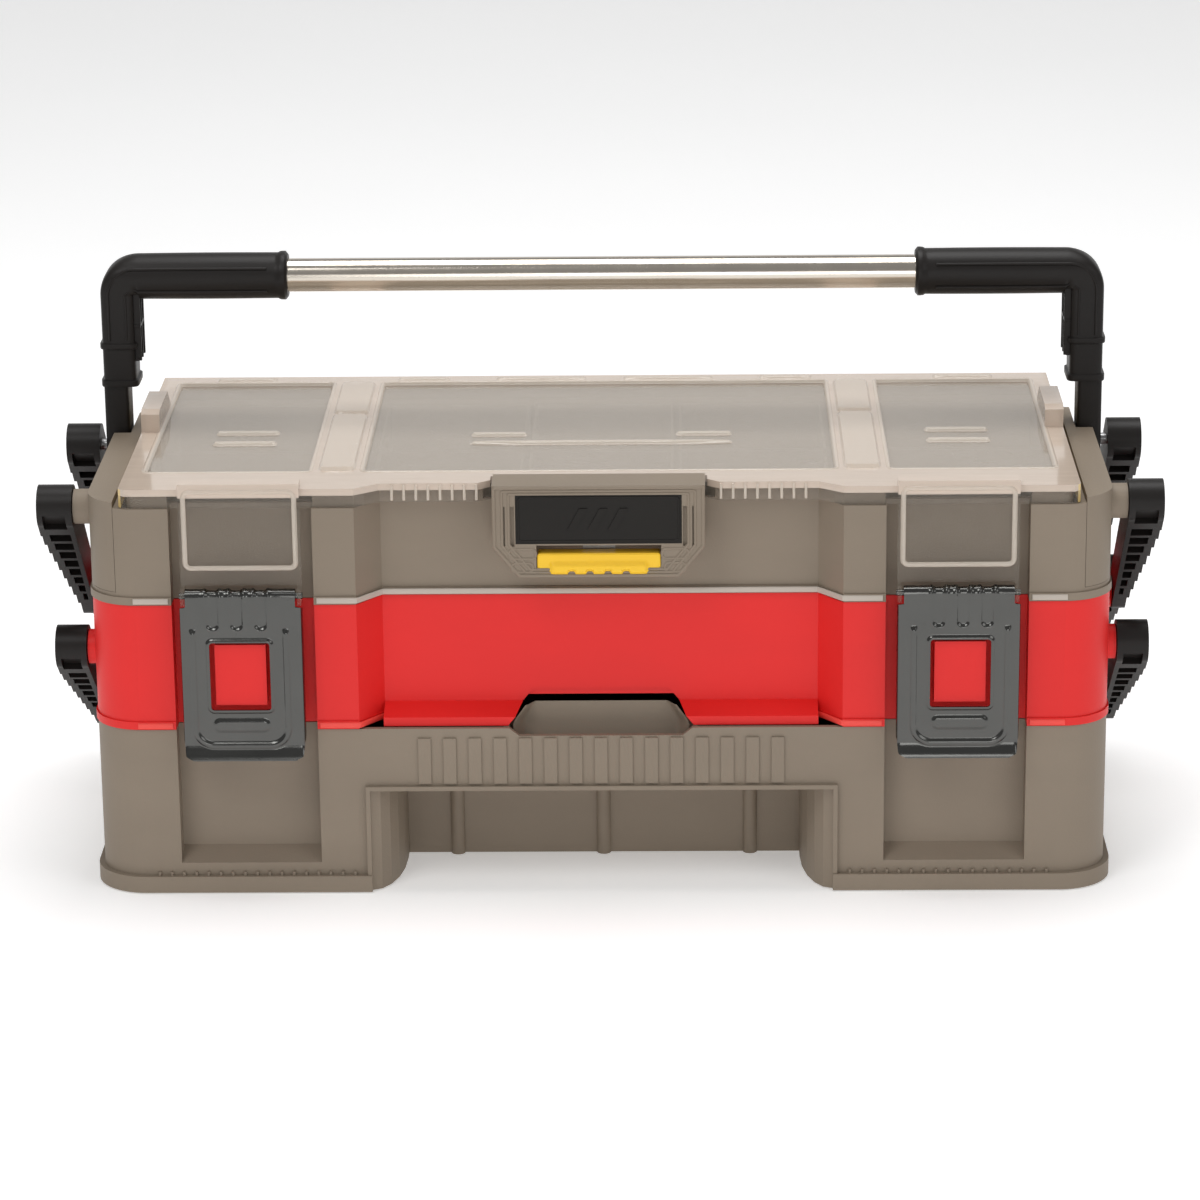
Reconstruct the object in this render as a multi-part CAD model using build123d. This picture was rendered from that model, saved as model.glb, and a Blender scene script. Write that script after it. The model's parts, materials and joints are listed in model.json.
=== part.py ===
"""Cantilever toolbox with a carrying handle.

A deep base bin, a middle tray and a lidded top tray are stacked. Four pairs of
arms at the ends carry the trays up and back. A clear lid closes the top tray,
two steel latches hang from it, and a tube handle folds over the rear edge.

Frame: +X along the length, +Y towards the rear, +Z up, millimetres.
The origin is on the floor, under the middle of the whole box.
Depths are measured back from the front face of the bins with the function y().
"""

import math
import os

from build123d import *

# ---------------------------------------------------------------- overall sizes
BIN_LENGTH = 510.0          # over the end walls of the bins
BIN_DEPTH = 222.0           # front face to rear face of the bins
BASE_HEIGHT = 86.5          # floor to the top edge of the base bin
MIDDLE_HEIGHT = 65.5        # middle tray, seam to seam
TOP_HEIGHT = 50.0           # top tray, seam to the shoulder under the lid skirt
FOOT_FLARE = 3.0            # how far the foot flange stands out of the walls
LATCH_PROUD = 13.0          # latch lip in front of the bins' front face
LID_LIFT = 10.0             # lid top above the shoulder of the top tray

HALF = BIN_LENGTH / 2
SEAM_LOW = BASE_HEIGHT                  # base bin to middle tray
SEAM_HIGH = SEAM_LOW + MIDDLE_HEIGHT    # middle tray to top tray
SHOULDER = SEAM_HIGH + TOP_HEIGHT       # top edge of the top tray
LID_TOP = SHOULDER + LID_LIFT
Y_ORIGIN = -(BIN_DEPTH + FOOT_FLARE - LATCH_PROUD) / 2

WALL = 2.8                  # moulded wall of the bins
FLOOR = 3.0                 # moulded floor of the bins
CORNER = 24.0               # upright corner radius of the bins
SEAM_GAP = 0.4              # gap between stacked bins
RUN = 0.05                  # radial clearance of a pin in a moving part
SLIDE_GAP = 0.4             # clearance of plastic parts that pass each other

# ---------------------------------------------------------------- centre recess and latch bays
RECESS_HALF = 109.0         # half width of the deep part of the recess in the trays' fronts
RECESS_RAMP = 12.0          # width of the slanted stretch at each end of the recess
RECESS_DEPTH = 16.0
BAY_WIDTH = 71.0
BAY_OUTER = HALF - 42            # latch bay, outer and inner edge
BAY_INNER = BAY_OUTER - BAY_WIDTH
BAY_DEPTH = 11.0
BAY_BOTTOM = 15.0           # height of the bay's bottom in the base bin
BEAD = 0.9                  # light bead along the bottom edge of each tray
BEAD_HEIGHT = 4.0

# ---------------------------------------------------------------- base bin
FOOT_HEIGHT = 8.6
FOOT_RING = 9.0             # width of the ring that the base stands on
FLOOR_LIFT = 3.0            # underside of the floor above the ground
ARCH_HALF = 116.5           # knee recess in the front of the base
ARCH_BACK_HALF = 101.0
ARCH_DEPTH = 53.0
ARCH_HEIGHT = 54.0
ARCH_LIP = 2.2
ARCH_RIB_R = 3.6
ARCH_RIB_X = (-75.5, 0.0, 75.5)
FLUTE_HALF = 95.0
FLUTE_COUNT = 15
FLUTE_PROUD = 1.0
TICK_PITCH = 6.2
SCOOP_HALF = 46.0           # finger scoop at the top of the base's front
SCOOP_DEPTH = 17.0
SCOOP_DROP = 15.0
RIM_DIP = 4.0

# ---------------------------------------------------------------- middle tray
CUT_TOP_HALF = 34.0         # finger cut-out at the bottom of the middle tray's front
CUT_BOTTOM_HALF = 46.6
CUT_HEIGHT = 15.5
LEDGE_DEPTH = 13.0
LEDGE_HEIGHT = 4.5
BLOCK_INNER = BAY_INNER + 24     # block that the latch window snaps round
BLOCK_OUTER = BAY_OUTER - 21.5
BLOCK_LOW = SEAM_LOW + 16
BLOCK_HIGH = SEAM_HIGH - 18
BLOCK_FRONT = 8.4           # block face in front of the bins' front face

# ---------------------------------------------------------------- lid
LID_HALF = HALF - 17.5
LID_DEPTH = BIN_DEPTH - 6
LID_THICK = 2.6
LID_SKIRT = 2.4
LID_FRONT_STEP = 9.0        # how far the lid's front edge steps back in the middle
WINDOW_SINK = 1.6
WINDOW_FRONT = 31.0
WINDOW_REAR = BIN_DEPTH - 19
WINDOW_SIDE = (BAY_INNER + 3, LID_HALF - 10)
WINDOW_MID_HALF = 118.2
BUMP_HEIGHT = 11.5
BUMP_FRONT = 106.0
BUMP_REAR = 157.0
HINGE_Y = BIN_DEPTH - 9          # lid hinge axis
HINGE_Z = LID_TOP - 6.7
HINGE_ROD_R = 1.5
KNUCKLE_R = 3.6
KNUCKLE_HALF = 20.0         # half length of a lid knuckle
KNUCKLE_OUTER = LID_HALF - 51.5
KNUCKLE_X = (-KNUCKLE_OUTER, -60.0, 60.0, KNUCKLE_OUTER)
TONGUE_INNER = BAY_INNER + 5.5
TONGUE_OUTER = BAY_OUTER - 5.5
TONGUE_LOW = SEAM_HIGH + 5.5
TONGUE_RISE = 3.6           # top of the tongue above the lid
TONGUE_FRONT = 3.6          # face of the tongue in front of the bins
TONGUE_THICK = 2.4
TONGUE_FLANGE = 9.0         # reach of the tongue's side flanges

# ---------------------------------------------------------------- latches
LATCH_PIN_Y = -6.6
LATCH_PIN_Z = SEAM_HIGH + 7
LATCH_PIN_R = 1.6
LATCH_SHEET = 1.2
LATCH_FACE = 10.2           # front face of the plate in front of the bins
LATCH_LOW = SEAM_LOW - 12.2
LATCH_SIDE = 7.0            # depth of the folded sides
LATCH_WINDOW = (BLOCK_INNER - 2.2, BLOCK_OUTER + 2.3, BLOCK_LOW - 2, BLOCK_HIGH + 1.8)

# ---------------------------------------------------------------- arms
UPPER_FRONT = (30.0, SHOULDER - 7)      # depth and height of the upper arms' pivots, top tray
UPPER_REAR = (145.0, SHOULDER - 7)
UPPER_RUN = 70.0
UPPER_DROP = 69.0
LOWER_FRONT = (32.0, SEAM_HIGH - 31.5)  # depth and height of the lower arms' pivots, middle tray
LOWER_REAR = (143.0, SEAM_HIGH - 31.5)
LOWER_RUN = 71.5
LOWER_DROP = 56.5
HUB_R = 11.0
TIP_R = 9.4
UPPER_ARM_X = (HALF + 8.5, HALF + 26)   # inner and outer face at the hub
LOWER_ARM_X = (HALF + 4.5, HALF + 20.3)
TIP_THICK = 7.0
ARM_PLATE = 2.4                 # plates, rungs and web of an arm
ARM_PITCH = 9.6
PIN_R = 3.0
PIN_HEAD_R = 5.2
PIN_HEAD = 2.0
BOSS_R = 8.8
BOSS_INSIDE = 15.0              # how far a boss reaches in from the end wall's face

# ---------------------------------------------------------------- handle
HANDLE_Z = SHOULDER + 83.5       # centre of the tube
TUBE_R = 8.7
TUBE_WALL = 1.2
TUBE_BARE = HALF - 92            # half of the bare stretch
GRIP_R = 11.9
ELBOW_R = 20.0              # outer radius of the elbow
LEG_OUTER = HALF + 5
LEG_INNER = HALF - 12.5
LEG_DEPTH = 22.0
LEG_NECK = (HALF - 7.8, LEG_OUTER)      # narrow foot of the leg that turns in the end cap
LADDER_REACH = 4.0          # ribs on the leg's inner side, clear of the lid
NECK_TOP = 34.0             # top of the neck above the pivot
EYE_R = 11.0

# ---------------------------------------------------------------- end caps, housing and catch
CAP_THICK = 2.6
CAP_SEAM = HALF - 14.4
CAP_TOP = 3.0               # cap top above the shoulder
HOUSING_HALF = 52.6
HOUSING_LOW = SEAM_HIGH + 14.4
HOUSING_TOP = SHOULDER + 11.6
HOUSING_CHAMFER = 16.0
HOUSING_FRONT = 2.5         # housing face in front of the bins
HOUSING_BACK = 19.0
BADGE_HALF = 41.0
BADGE_LOW = HOUSING_LOW + 17.4
BADGE_HIGH = HOUSING_TOP - 4.6
BADGE_THICK = 2.0
CATCH_HALF = 30.5
CATCH_LOW = HOUSING_LOW + 2.2
CATCH_HIGH = CATCH_LOW + 14
CATCH_TRAVEL = 4.0

# ---------------------------------------------------------------- inserts
CUP_WALL = 1.4
CUP_MIDDLE = (-116.0, -40.0, -37.0, 37.0, 40.0, 116.0)
CUP_END = (BAY_INNER - 14, LID_HALF - 7.5)


# ---------------------------------------------------------------- helpers
def y(depth):
    """Y of a point at this depth behind the bins' front face."""
    return Y_ORIGIN + depth


def block(x0, x1, d0, d1, z0, z1):
    """Box between two X, two depths and two heights."""
    centre = ((x0 + x1) / 2, y((d0 + d1) / 2), (z0 + z1) / 2)
    return Pos(*centre) * Box(abs(x1 - x0), abs(d1 - d0), abs(z1 - z0))


def rounded(half, d0, d1, z0, z1, radius):
    """Upright block with rounded corners, centred on X."""
    outline = RectangleRounded(2 * half, d1 - d0, radius)
    return Pos(0, y((d0 + d1) / 2), z0) * extrude(outline, z1 - z0)


def plan(points, z0, z1):
    """Upright prism over a polygon of (x, depth) points."""
    outline = Polygon(*[(px, y(d)) for px, d in points], align=None)
    return Pos(0, 0, z0) * extrude(outline, z1 - z0, dir=(0, 0, 1))


def profile_x(points, x0, x1):
    """Prism along X over a polygon of (depth, z) points."""
    outline = Polygon(*[(y(d), z) for d, z in points], align=None)
    plane = Plane(origin=(x0, 0, 0), x_dir=(0, 1, 0), z_dir=(1, 0, 0))
    return extrude(plane * outline, x1 - x0, dir=(1, 0, 0))


def profile_y(points, d0, d1):
    """Prism along Y over a polygon of (x, z) points."""
    outline = Polygon(*[(px, z) for px, z in points], align=None)
    plane = Plane(origin=(0, y(d1), 0), x_dir=(1, 0, 0), z_dir=(0, -1, 0))
    return extrude(plane * outline, d1 - d0, dir=(0, -1, 0))


def rod_x(depth, z, radius, x0, x1):
    """Round bar along X."""
    place = Pos((x0 + x1) / 2, y(depth), z) * Rot(0, 90, 0)
    return place * Cylinder(radius, abs(x1 - x0))


def mirrored(shape):
    """The same shape on the other end of the box."""
    return mirror(shape, about=Plane.YZ)


def both(shape):
    """The shape and its mirror image as one list."""
    return [shape, mirrored(shape)]


def joined(shapes):
    """All the shapes fused into one."""
    result = shapes[0]
    for shape in shapes[1:]:
        result = result + shape
    return result


def without(shape, cuts):
    """The shape with every cut taken out."""
    for cut in cuts:
        shape = shape - cut
    return shape


def group(shapes):
    """Separate solids kept together as one node."""
    solids = []
    for shape in shapes:
        solids.extend(shape.solids())
    return Compound(children=solids)


def save(name, shape):
    """Write one node."""
    export_step(shape, f"parts/{name}.step")


# ---------------------------------------------------------------- bins
def recess_outline(inset, depth):
    """Plan of the middle recess in the trays' fronts, grown by an inset."""
    deep = RECESS_HALF + inset
    wide = RECESS_HALF + RECESS_RAMP + inset
    return [(-wide, -20), (-wide, inset * 0.4), (-deep, depth + inset),
            (deep, depth + inset), (wide, inset * 0.4), (wide, -20)]


def bay(grow, z0, z1, depth=BAY_DEPTH):
    """Latch bay on the right, grown on every side by one amount."""
    return block(BAY_INNER - grow, BAY_OUTER + grow, -20, depth + grow, z0, z1)


def arch_outline(grow):
    """Plan of the knee recess, grown by one amount, with curved sides."""
    steps = 5
    side = []
    for i in range(steps + 1):
        turn = math.radians(90 * i / steps)
        x = ARCH_HALF - (ARCH_HALF - ARCH_BACK_HALF) * math.sin(turn)
        side.append((x + grow, (ARCH_DEPTH - 8) * (1 - math.cos(turn))))
    side.append((ARCH_BACK_HALF + grow, ARCH_DEPTH + grow))
    right = [(ARCH_HALF + grow, -20)] + side
    return right + [(-px, d) for px, d in reversed(right)]


def flutes():
    """Raised bars above the knee recess."""
    pitch = 2 * FLUTE_HALF / FLUTE_COUNT
    bars = []
    for i in range(FLUTE_COUNT):
        x = -FLUTE_HALF + (i + 0.25) * pitch
        top = SEAM_LOW - RIM_DIP - 1
        bars.append(block(x, x + pitch / 2, -FLUTE_PROUD, 1, ARCH_HEIGHT + 3.4, top))
    return bars


def foot_ticks():
    """Small upright ribs along the top of the front foot flange."""
    ticks = []
    count = int((HALF - CORNER - ARCH_HALF - 8) / TICK_PITCH)
    for i in range(count):
        x = ARCH_HALF + 8 + i * TICK_PITCH
        tick = block(x, x + 1.2, -FOOT_FLARE + 1.4, 0.5, FOOT_HEIGHT - 1, FOOT_HEIGHT + 2)
        ticks.extend(both(tick))
    return ticks


def base_bin():
    """Deep bin with feet, a knee recess, a finger scoop and latch bays."""
    top = SEAM_LOW
    shell = rounded(HALF, 0, BIN_DEPTH, 0, top, CORNER)
    foot = rounded(HALF + FOOT_FLARE, -FOOT_FLARE, BIN_DEPTH + FOOT_FLARE, 0, FOOT_HEIGHT,
                   CORNER + FOOT_FLARE)
    lip = block(-ARCH_HALF - ARCH_LIP, ARCH_HALF + ARCH_LIP, -ARCH_LIP, 1, 0, ARCH_HEIGHT + ARCH_LIP)
    body = joined([shell, foot, lip] + flutes() + foot_ticks())
    cavity = rounded(HALF - WALL, WALL, BIN_DEPTH - WALL, FLOOR_LIFT + FLOOR, top + 1,
                     CORNER - WALL)
    hood = plan(arch_outline(WALL), 0, ARCH_HEIGHT + WALL)
    scoop_wall = block(-SCOOP_HALF - WALL, SCOOP_HALF + WALL, 0, SCOOP_DEPTH + WALL,
                       top - SCOOP_DROP - WALL, top)
    bays = both(bay(WALL, BAY_BOTTOM - WALL, top + 1))
    keep = [hood, scoop_wall] + bays
    for depth, z in pivots((LOWER_FRONT, LOWER_REAR), LOWER_RUN, LOWER_DROP):
        keep.extend(both(rod_x(depth, z, BOSS_R, HALF - BOSS_INSIDE, HALF)))
    body = body - without(cavity, keep)
    underside = rounded(HALF - FOOT_RING, FOOT_RING, BIN_DEPTH - FOOT_RING, -1, FLOOR_LIFT,
                        CORNER - FOOT_RING)
    body = body - (underside - plan(arch_outline(FOOT_RING), -2, FLOOR_LIFT + 1))
    body = body - plan(arch_outline(0), -1, ARCH_HEIGHT)
    ledge = profile_x([(-20, BAY_BOTTOM), (-0.2, BAY_BOTTOM), (BAY_DEPTH, BAY_BOTTOM + 6),
                       (BAY_DEPTH, top + 1), (-20, top + 1)], BAY_INNER, BAY_OUTER)
    body = without(body, both(ledge))
    scoop = profile_x([(WALL, top + 1), (WALL, top - SCOOP_DROP + 4), (WALL + 3, top - SCOOP_DROP),
                       (SCOOP_DEPTH - 6, top - SCOOP_DROP + 3), (SCOOP_DEPTH, top - 4),
                       (SCOOP_DEPTH, top + 1)], -SCOOP_HALF, SCOOP_HALF)
    dip = profile_y([(-SCOOP_HALF, top + 1), (-SCOOP_HALF, top), (-SCOOP_HALF + 5, top - RIM_DIP),
                     (SCOOP_HALF - 5, top - RIM_DIP), (SCOOP_HALF, top), (SCOOP_HALF, top + 1)],
                    -5, WALL + 1)
    body = body - scoop - dip
    ribs = []
    for x in ARCH_RIB_X:
        rib = Pos(x, y(ARCH_DEPTH), 0) * Cylinder(ARCH_RIB_R, ARCH_HEIGHT + 1,
                                                  align=(Align.CENTER, Align.CENTER, Align.MIN))
        ribs.append(rib & block(x - 9, x + 9, ARCH_DEPTH - 9, ARCH_DEPTH + 1, 0, ARCH_HEIGHT + 1))
    body = joined([body] + ribs)
    low = pivots((LOWER_FRONT, LOWER_REAR), LOWER_RUN, LOWER_DROP)
    return with_bosses(body, low, LOWER_ARM_X[0])


def tray_shell(z0, z1, inner_z):
    """Open tray with the middle recess, latch bays and a bead along its bottom edge."""
    body = rounded(HALF, 0, BIN_DEPTH, z0, z1, CORNER)
    bead = rounded(HALF + BEAD, -BEAD, BIN_DEPTH + BEAD, z0, z0 + BEAD_HEIGHT, CORNER + BEAD)
    body = body + bead
    cavity = rounded(HALF - WALL, WALL, BIN_DEPTH - WALL, inner_z, z1 + 1, CORNER - WALL)
    keep = [plan(recess_outline(WALL, RECESS_DEPTH), z0, z1 + 1)]
    keep.extend(both(bay(WALL, z0, z1 + 1)))
    body = body - without(cavity, keep)
    recess = plan(recess_outline(0, RECESS_DEPTH), z0 - 1, z1 + 1)
    strip = plan(recess_outline(0, RECESS_DEPTH - BEAD), z0 - 1, z0 + BEAD_HEIGHT)
    upper = plan(recess_outline(0, RECESS_DEPTH), z0 + BEAD_HEIGHT, z1 + 1)
    body = body - (recess & strip) - upper
    return without(body, both(bay(0, z0 - 1, z1 + 1)))


def pivots(pair, run, drop):
    """Lower pivot points of an arm pair from the upper ones."""
    return [(depth + run, z - drop) for depth, z in pair]


def with_bosses(body, points, reach):
    """The body with drilled bosses for arm pins on both end walls."""
    for depth, z in points:
        boss = rod_x(depth, z, BOSS_R, HALF - BOSS_INSIDE, reach - SLIDE_GAP)
        hole = rod_x(depth, z, PIN_R, HALF - BOSS_INSIDE + WALL, reach + 1)
        body = joined([body] + both(boss))
        body = without(body, both(hole))
    return body


def middle_tray():
    """Shallow tray with the finger cut-out and the blocks that the latches snap round."""
    z0 = SEAM_LOW + SEAM_GAP
    z1 = SEAM_HIGH
    body = tray_shell(z0, z1, z0 + 12 + FLOOR)
    hollow = rounded(HALF - WALL, WALL, BIN_DEPTH - WALL, z0 - 1, z0 + 12, CORNER - WALL)
    keep = [plan(recess_outline(WALL, RECESS_DEPTH), z0 - 1, z1)]
    keep.extend(both(bay(WALL, z0 - 1, z1)))
    body = body - without(hollow, keep)
    ledge = profile_x([(RECESS_DEPTH - LEDGE_DEPTH, z0), (RECESS_DEPTH + 1, z0),
                       (RECESS_DEPTH + 1, z0 + 2 * LEDGE_HEIGHT),
                       (RECESS_DEPTH, z0 + 2 * LEDGE_HEIGHT),
                       (RECESS_DEPTH - LEDGE_DEPTH, z0 + LEDGE_HEIGHT)], -RECESS_HALF, RECESS_HALF)
    body = body + ledge
    cut = profile_y([(-CUT_BOTTOM_HALF, z0 - 1), (-CUT_BOTTOM_HALF, z0), (-CUT_TOP_HALF, z0 + CUT_HEIGHT),
                     (CUT_TOP_HALF, z0 + CUT_HEIGHT), (CUT_BOTTOM_HALF, z0), (CUT_BOTTOM_HALF, z0 - 1)],
                    0, RECESS_DEPTH + WALL + 16)
    body = body - (cut & block(-RECESS_HALF, RECESS_HALF, 0, RECESS_DEPTH + WALL + 16, z0 - 2, z0 + 12))
    body = body - (cut & block(-RECESS_HALF, RECESS_HALF, 0, RECESS_DEPTH + 1.2, z0 - 2, z1))
    snap = block(BLOCK_INNER, BLOCK_OUTER, -BLOCK_FRONT, BAY_DEPTH + 1, BLOCK_LOW, BLOCK_HIGH)
    body = joined([body] + both(snap))
    body = with_bosses(body, (LOWER_FRONT, LOWER_REAR), LOWER_ARM_X[0])
    lower = pivots((UPPER_FRONT, UPPER_REAR), UPPER_RUN, UPPER_DROP)
    return with_bosses(body, lower, UPPER_ARM_X[0])


def leg_slot():
    """Open channel in the right end cap: the neck turns in it and the leg folds down into it."""
    x0 = LEG_NECK[0] - SLIDE_GAP - 0.6
    low = UPPER_REAR[1] - EYE_R - 2
    neck = block(x0, HALF + 5, UPPER_REAR[0] - EYE_R - 3, BIN_DEPTH + 5, low, SHOULDER + 20)
    leg = block(CAP_SEAM - 1, HALF + 5, UPPER_REAR[0] + 26, BIN_DEPTH + 5, low, SHOULDER + 20)
    return neck + leg


def top_tray():
    """Lidded tray with the rim inside the lid's skirt and the knuckles for its rod."""
    z0 = SEAM_HIGH + SEAM_GAP
    z1 = SHOULDER
    body = tray_shell(z0, z1, z0 + FLOOR)
    ends = both(block(CAP_SEAM, HALF + 5, -5, BIN_DEPTH + 5, z0 + 6, z1 + 5))
    body = without(body, ends)
    rim_half = LID_HALF - LID_SKIRT - SLIDE_GAP - 0.6
    rim = rounded(rim_half, WALL, BIN_DEPTH - WALL, z1 - 4, LID_TOP - LID_THICK - SLIDE_GAP, 5)
    hole = rounded(rim_half - 2, WALL + 2, HINGE_Y - KNUCKLE_R - 3, z1 - 5, LID_TOP, 4)
    rear = block(-HALF, HALF, HINGE_Y - KNUCKLE_R - 1.2, BIN_DEPTH + 1, z1 - 4, LID_TOP)
    rim = rim - hole - rear
    rim = rim - plan(recess_outline(0.5, RECESS_DEPTH), z1 - 5, LID_TOP + 1)
    rim = without(rim, both(bay(0.5, z1 - 5, LID_TOP + 1)))
    inner = plan(recess_outline(WALL, RECESS_DEPTH), z1 - 3, LID_TOP - LID_THICK - SLIDE_GAP)
    inner = inner - plan(recess_outline(0, RECESS_DEPTH), z1 - 4, LID_TOP)
    inner = inner & block(-RECESS_HALF - 14, RECESS_HALF + 14, WALL, 40, z1 - 4, LID_TOP)
    inner = inner - block(-HOUSING_HALF - 5, HOUSING_HALF + 5, -20, 60, z1 - 4, LID_TOP)
    under_lid = plan(lid_outline(-LID_SKIRT - SLIDE_GAP), z1 - 5, LID_TOP)
    rim = rim & under_lid
    inner = inner & under_lid
    wall = block(-rim_half, rim_half, HINGE_Y - KNUCKLE_R - 2.8, HINGE_Y - KNUCKLE_R - 1.2, z0 + FLOOR,
                 HINGE_Z - 1)
    sides = both(block(CAP_SEAM - WALL, CAP_SEAM - 0.2, WALL, BIN_DEPTH - WALL, z0 + FLOOR, z1))
    body = joined([body, rim, inner, wall] + sides)
    sweep = []
    for x in KNUCKLE_X:
        sweep.append(rod_x(HINGE_Y, HINGE_Z, KNUCKLE_R + 1, x - KNUCKLE_HALF - SLIDE_GAP,
                           x + KNUCKLE_HALF + SLIDE_GAP))
    for x in KNUCKLE_X:
        for side in (-1, 1):
            a = x + side * (KNUCKLE_HALF + SLIDE_GAP + 0.2)
            b = a + side * 7
            ear = rod_x(HINGE_Y, HINGE_Z, KNUCKLE_R - 0.4, a, b)
            foot = block(a, b, HINGE_Y - 3, HINGE_Y + 3, z1 - 6, HINGE_Z)
            body = joined([body, ear, foot])
    stub = block(-rim_half, rim_half, HINGE_Y - 8, BIN_DEPTH, z1 - 4, z1)
    body = body + (stub & rounded(HALF, 0, BIN_DEPTH, z1 - 5, z1, CORNER))
    body = without(body, sweep)
    return body - rod_x(HINGE_Y, HINGE_Z, HINGE_ROD_R, -LID_HALF + 20, LID_HALF - 20)


def end_cap():
    """Right end of the top tray: a shell that carries the arm boss and the handle."""
    z0 = SEAM_HIGH + SEAM_GAP + 6 + 0.2
    z1 = SHOULDER + CAP_TOP
    outer = rounded(HALF, 0, BIN_DEPTH, z0, z1, CORNER)
    outer = outer & block(CAP_SEAM + 0.2, HALF + 5, -5, BIN_DEPTH + 5, z0, z1)
    inner = rounded(HALF - CAP_THICK, CAP_THICK, BIN_DEPTH - CAP_THICK, z0 - 1, z1 - CAP_THICK,
                    CORNER - CAP_THICK)
    inner = inner & block(CAP_SEAM + 2.8, HALF, 0, BIN_DEPTH, z0 - 1, z1)
    wall = block(CAP_SEAM + 0.2, LEG_NECK[0] - SLIDE_GAP - 0.6, UPPER_REAR[0] - EYE_R - 8,
                 BIN_DEPTH - 4, z0, SHOULDER + CAP_TOP)
    body = (outer - (inner - wall)) - leg_slot()
    neck_wall = block(LEG_NECK[0] - 4, HALF - 1, UPPER_REAR[0] - EYE_R - 5.6, UPPER_REAR[0] - EYE_R - 3, z0,
                      z1 - 1)
    body = body + (neck_wall & rounded(HALF, 0, BIN_DEPTH, z0, z1, CORNER))
    depth, z = UPPER_FRONT
    boss = rod_x(depth, z, BOSS_R, CAP_SEAM + 4, UPPER_ARM_X[0] - SLIDE_GAP)
    body = body + (boss & block(0, HALF + 20, -10, BIN_DEPTH, z0, z1 - 0.1))
    body = body - rod_x(depth, z, PIN_R, CAP_SEAM + 6, UPPER_ARM_X[0] + 1)
    depth, z = UPPER_REAR
    return body - rod_x(depth, z, PIN_R, CAP_SEAM + 1.5, HALF + 5)


# ---------------------------------------------------------------- lid
def lid_outline(grow):
    """Plan of the lid: straight ends, front edge stepped back in the middle, housing notch."""
    w = LID_HALF + grow
    f = -grow
    step = LID_FRONT_STEP - grow
    notch = HOUSING_HALF + 1.2 - grow
    right = [(w, LID_DEPTH + grow), (w, f + 3), (w - 3, f), (RECESS_HALF + RECESS_RAMP, f),
             (RECESS_HALF, step), (notch + 6, step), (notch, step + 5), (notch, HOUSING_BACK + 2 - grow)]
    left = [(-px, d) for px, d in reversed(right)]
    return right + left


def clear_lid():
    """Clear lid: plate with sunk windows, skirt, side bumps, tongues and hinge knuckles."""
    plate = plan(lid_outline(0), LID_TOP - LID_THICK, LID_TOP)
    skirt = plan(lid_outline(0), SHOULDER + SLIDE_GAP, LID_TOP - 0.5)
    skirt = skirt - plan(lid_outline(-LID_SKIRT), SHOULDER - 1, LID_TOP)
    skirt = skirt - block(-HALF, HALF, HINGE_Y - 12, BIN_DEPTH + 5, SHOULDER - 1, LID_TOP - 1)
    body = plate + skirt
    windows = [(-WINDOW_MID_HALF, WINDOW_MID_HALF), WINDOW_SIDE, (-WINDOW_SIDE[1], -WINDOW_SIDE[0])]
    for x0, x1 in windows:
        sunk = block(x0, x1, WINDOW_FRONT, WINDOW_REAR, LID_TOP - WINDOW_SINK, LID_TOP + 1)
        body = body - sunk
    bump = profile_x([(BUMP_FRONT, LID_TOP - 1), (BUMP_FRONT, LID_TOP + BUMP_HEIGHT - 2),
                      (BUMP_FRONT + 4, LID_TOP + BUMP_HEIGHT), (BUMP_REAR - 12, LID_TOP + BUMP_HEIGHT),
                      (BUMP_REAR, LID_TOP + 2), (BUMP_REAR, LID_TOP - 1)], LID_HALF - 9.5, LID_HALF)
    hollow = profile_x([(BUMP_FRONT + 2, LID_TOP - 4), (BUMP_FRONT + 2, LID_TOP + BUMP_HEIGHT - 4),
                        (BUMP_REAR - 14, LID_TOP + BUMP_HEIGHT - 2), (BUMP_REAR - 4, LID_TOP),
                        (BUMP_REAR - 4, LID_TOP - 4)], LID_HALF - 7.5, LID_HALF - 2)
    body = joined([body] + both(bump))
    body = without(body, both(hollow))
    front = -TONGUE_FRONT
    face = block(TONGUE_INNER, TONGUE_OUTER, front, front + TONGUE_THICK, TONGUE_LOW + 6,
                 LID_TOP + TONGUE_RISE)
    cap = block(TONGUE_INNER, TONGUE_OUTER, front, 6, LID_TOP - 1, LID_TOP + TONGUE_RISE)
    ears = []
    for x in (TONGUE_INNER, TONGUE_OUTER - 2):
        ears.append(block(x, x + 2, -TONGUE_FLANGE, 0, TONGUE_LOW - 3, LATCH_PIN_Z + 4.2))
        ears.append(block(x, x + 2, front - 0.8, 0, LATCH_PIN_Z + 4, SHOULDER + 4))
    tongue = joined([face, cap] + ears)
    tongue = tongue - rod_x(LATCH_PIN_Y, LATCH_PIN_Z, LATCH_PIN_R + RUN, TONGUE_INNER - 1,
                            TONGUE_OUTER + 1)
    body = joined([body] + both(tongue))
    for x in KNUCKLE_X:
        knuckle = rod_x(HINGE_Y, HINGE_Z, KNUCKLE_R, x - KNUCKLE_HALF, x + KNUCKLE_HALF)
        web = block(x - KNUCKLE_HALF, x + KNUCKLE_HALF, HINGE_Y - 2, HINGE_Y + 2, HINGE_Z,
                    LID_TOP - 1)
        bore = rod_x(HINGE_Y, HINGE_Z, HINGE_ROD_R + RUN, x - KNUCKLE_HALF - 1, x + KNUCKLE_HALF + 1)
        body = joined([body, knuckle, web]) - bore
    return body


def hinge_rod():
    """Steel rod through all the lid knuckles."""
    return rod_x(HINGE_Y, HINGE_Z, HINGE_ROD_R - 0.01, -LID_HALF + 21, LID_HALF - 21)


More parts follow.
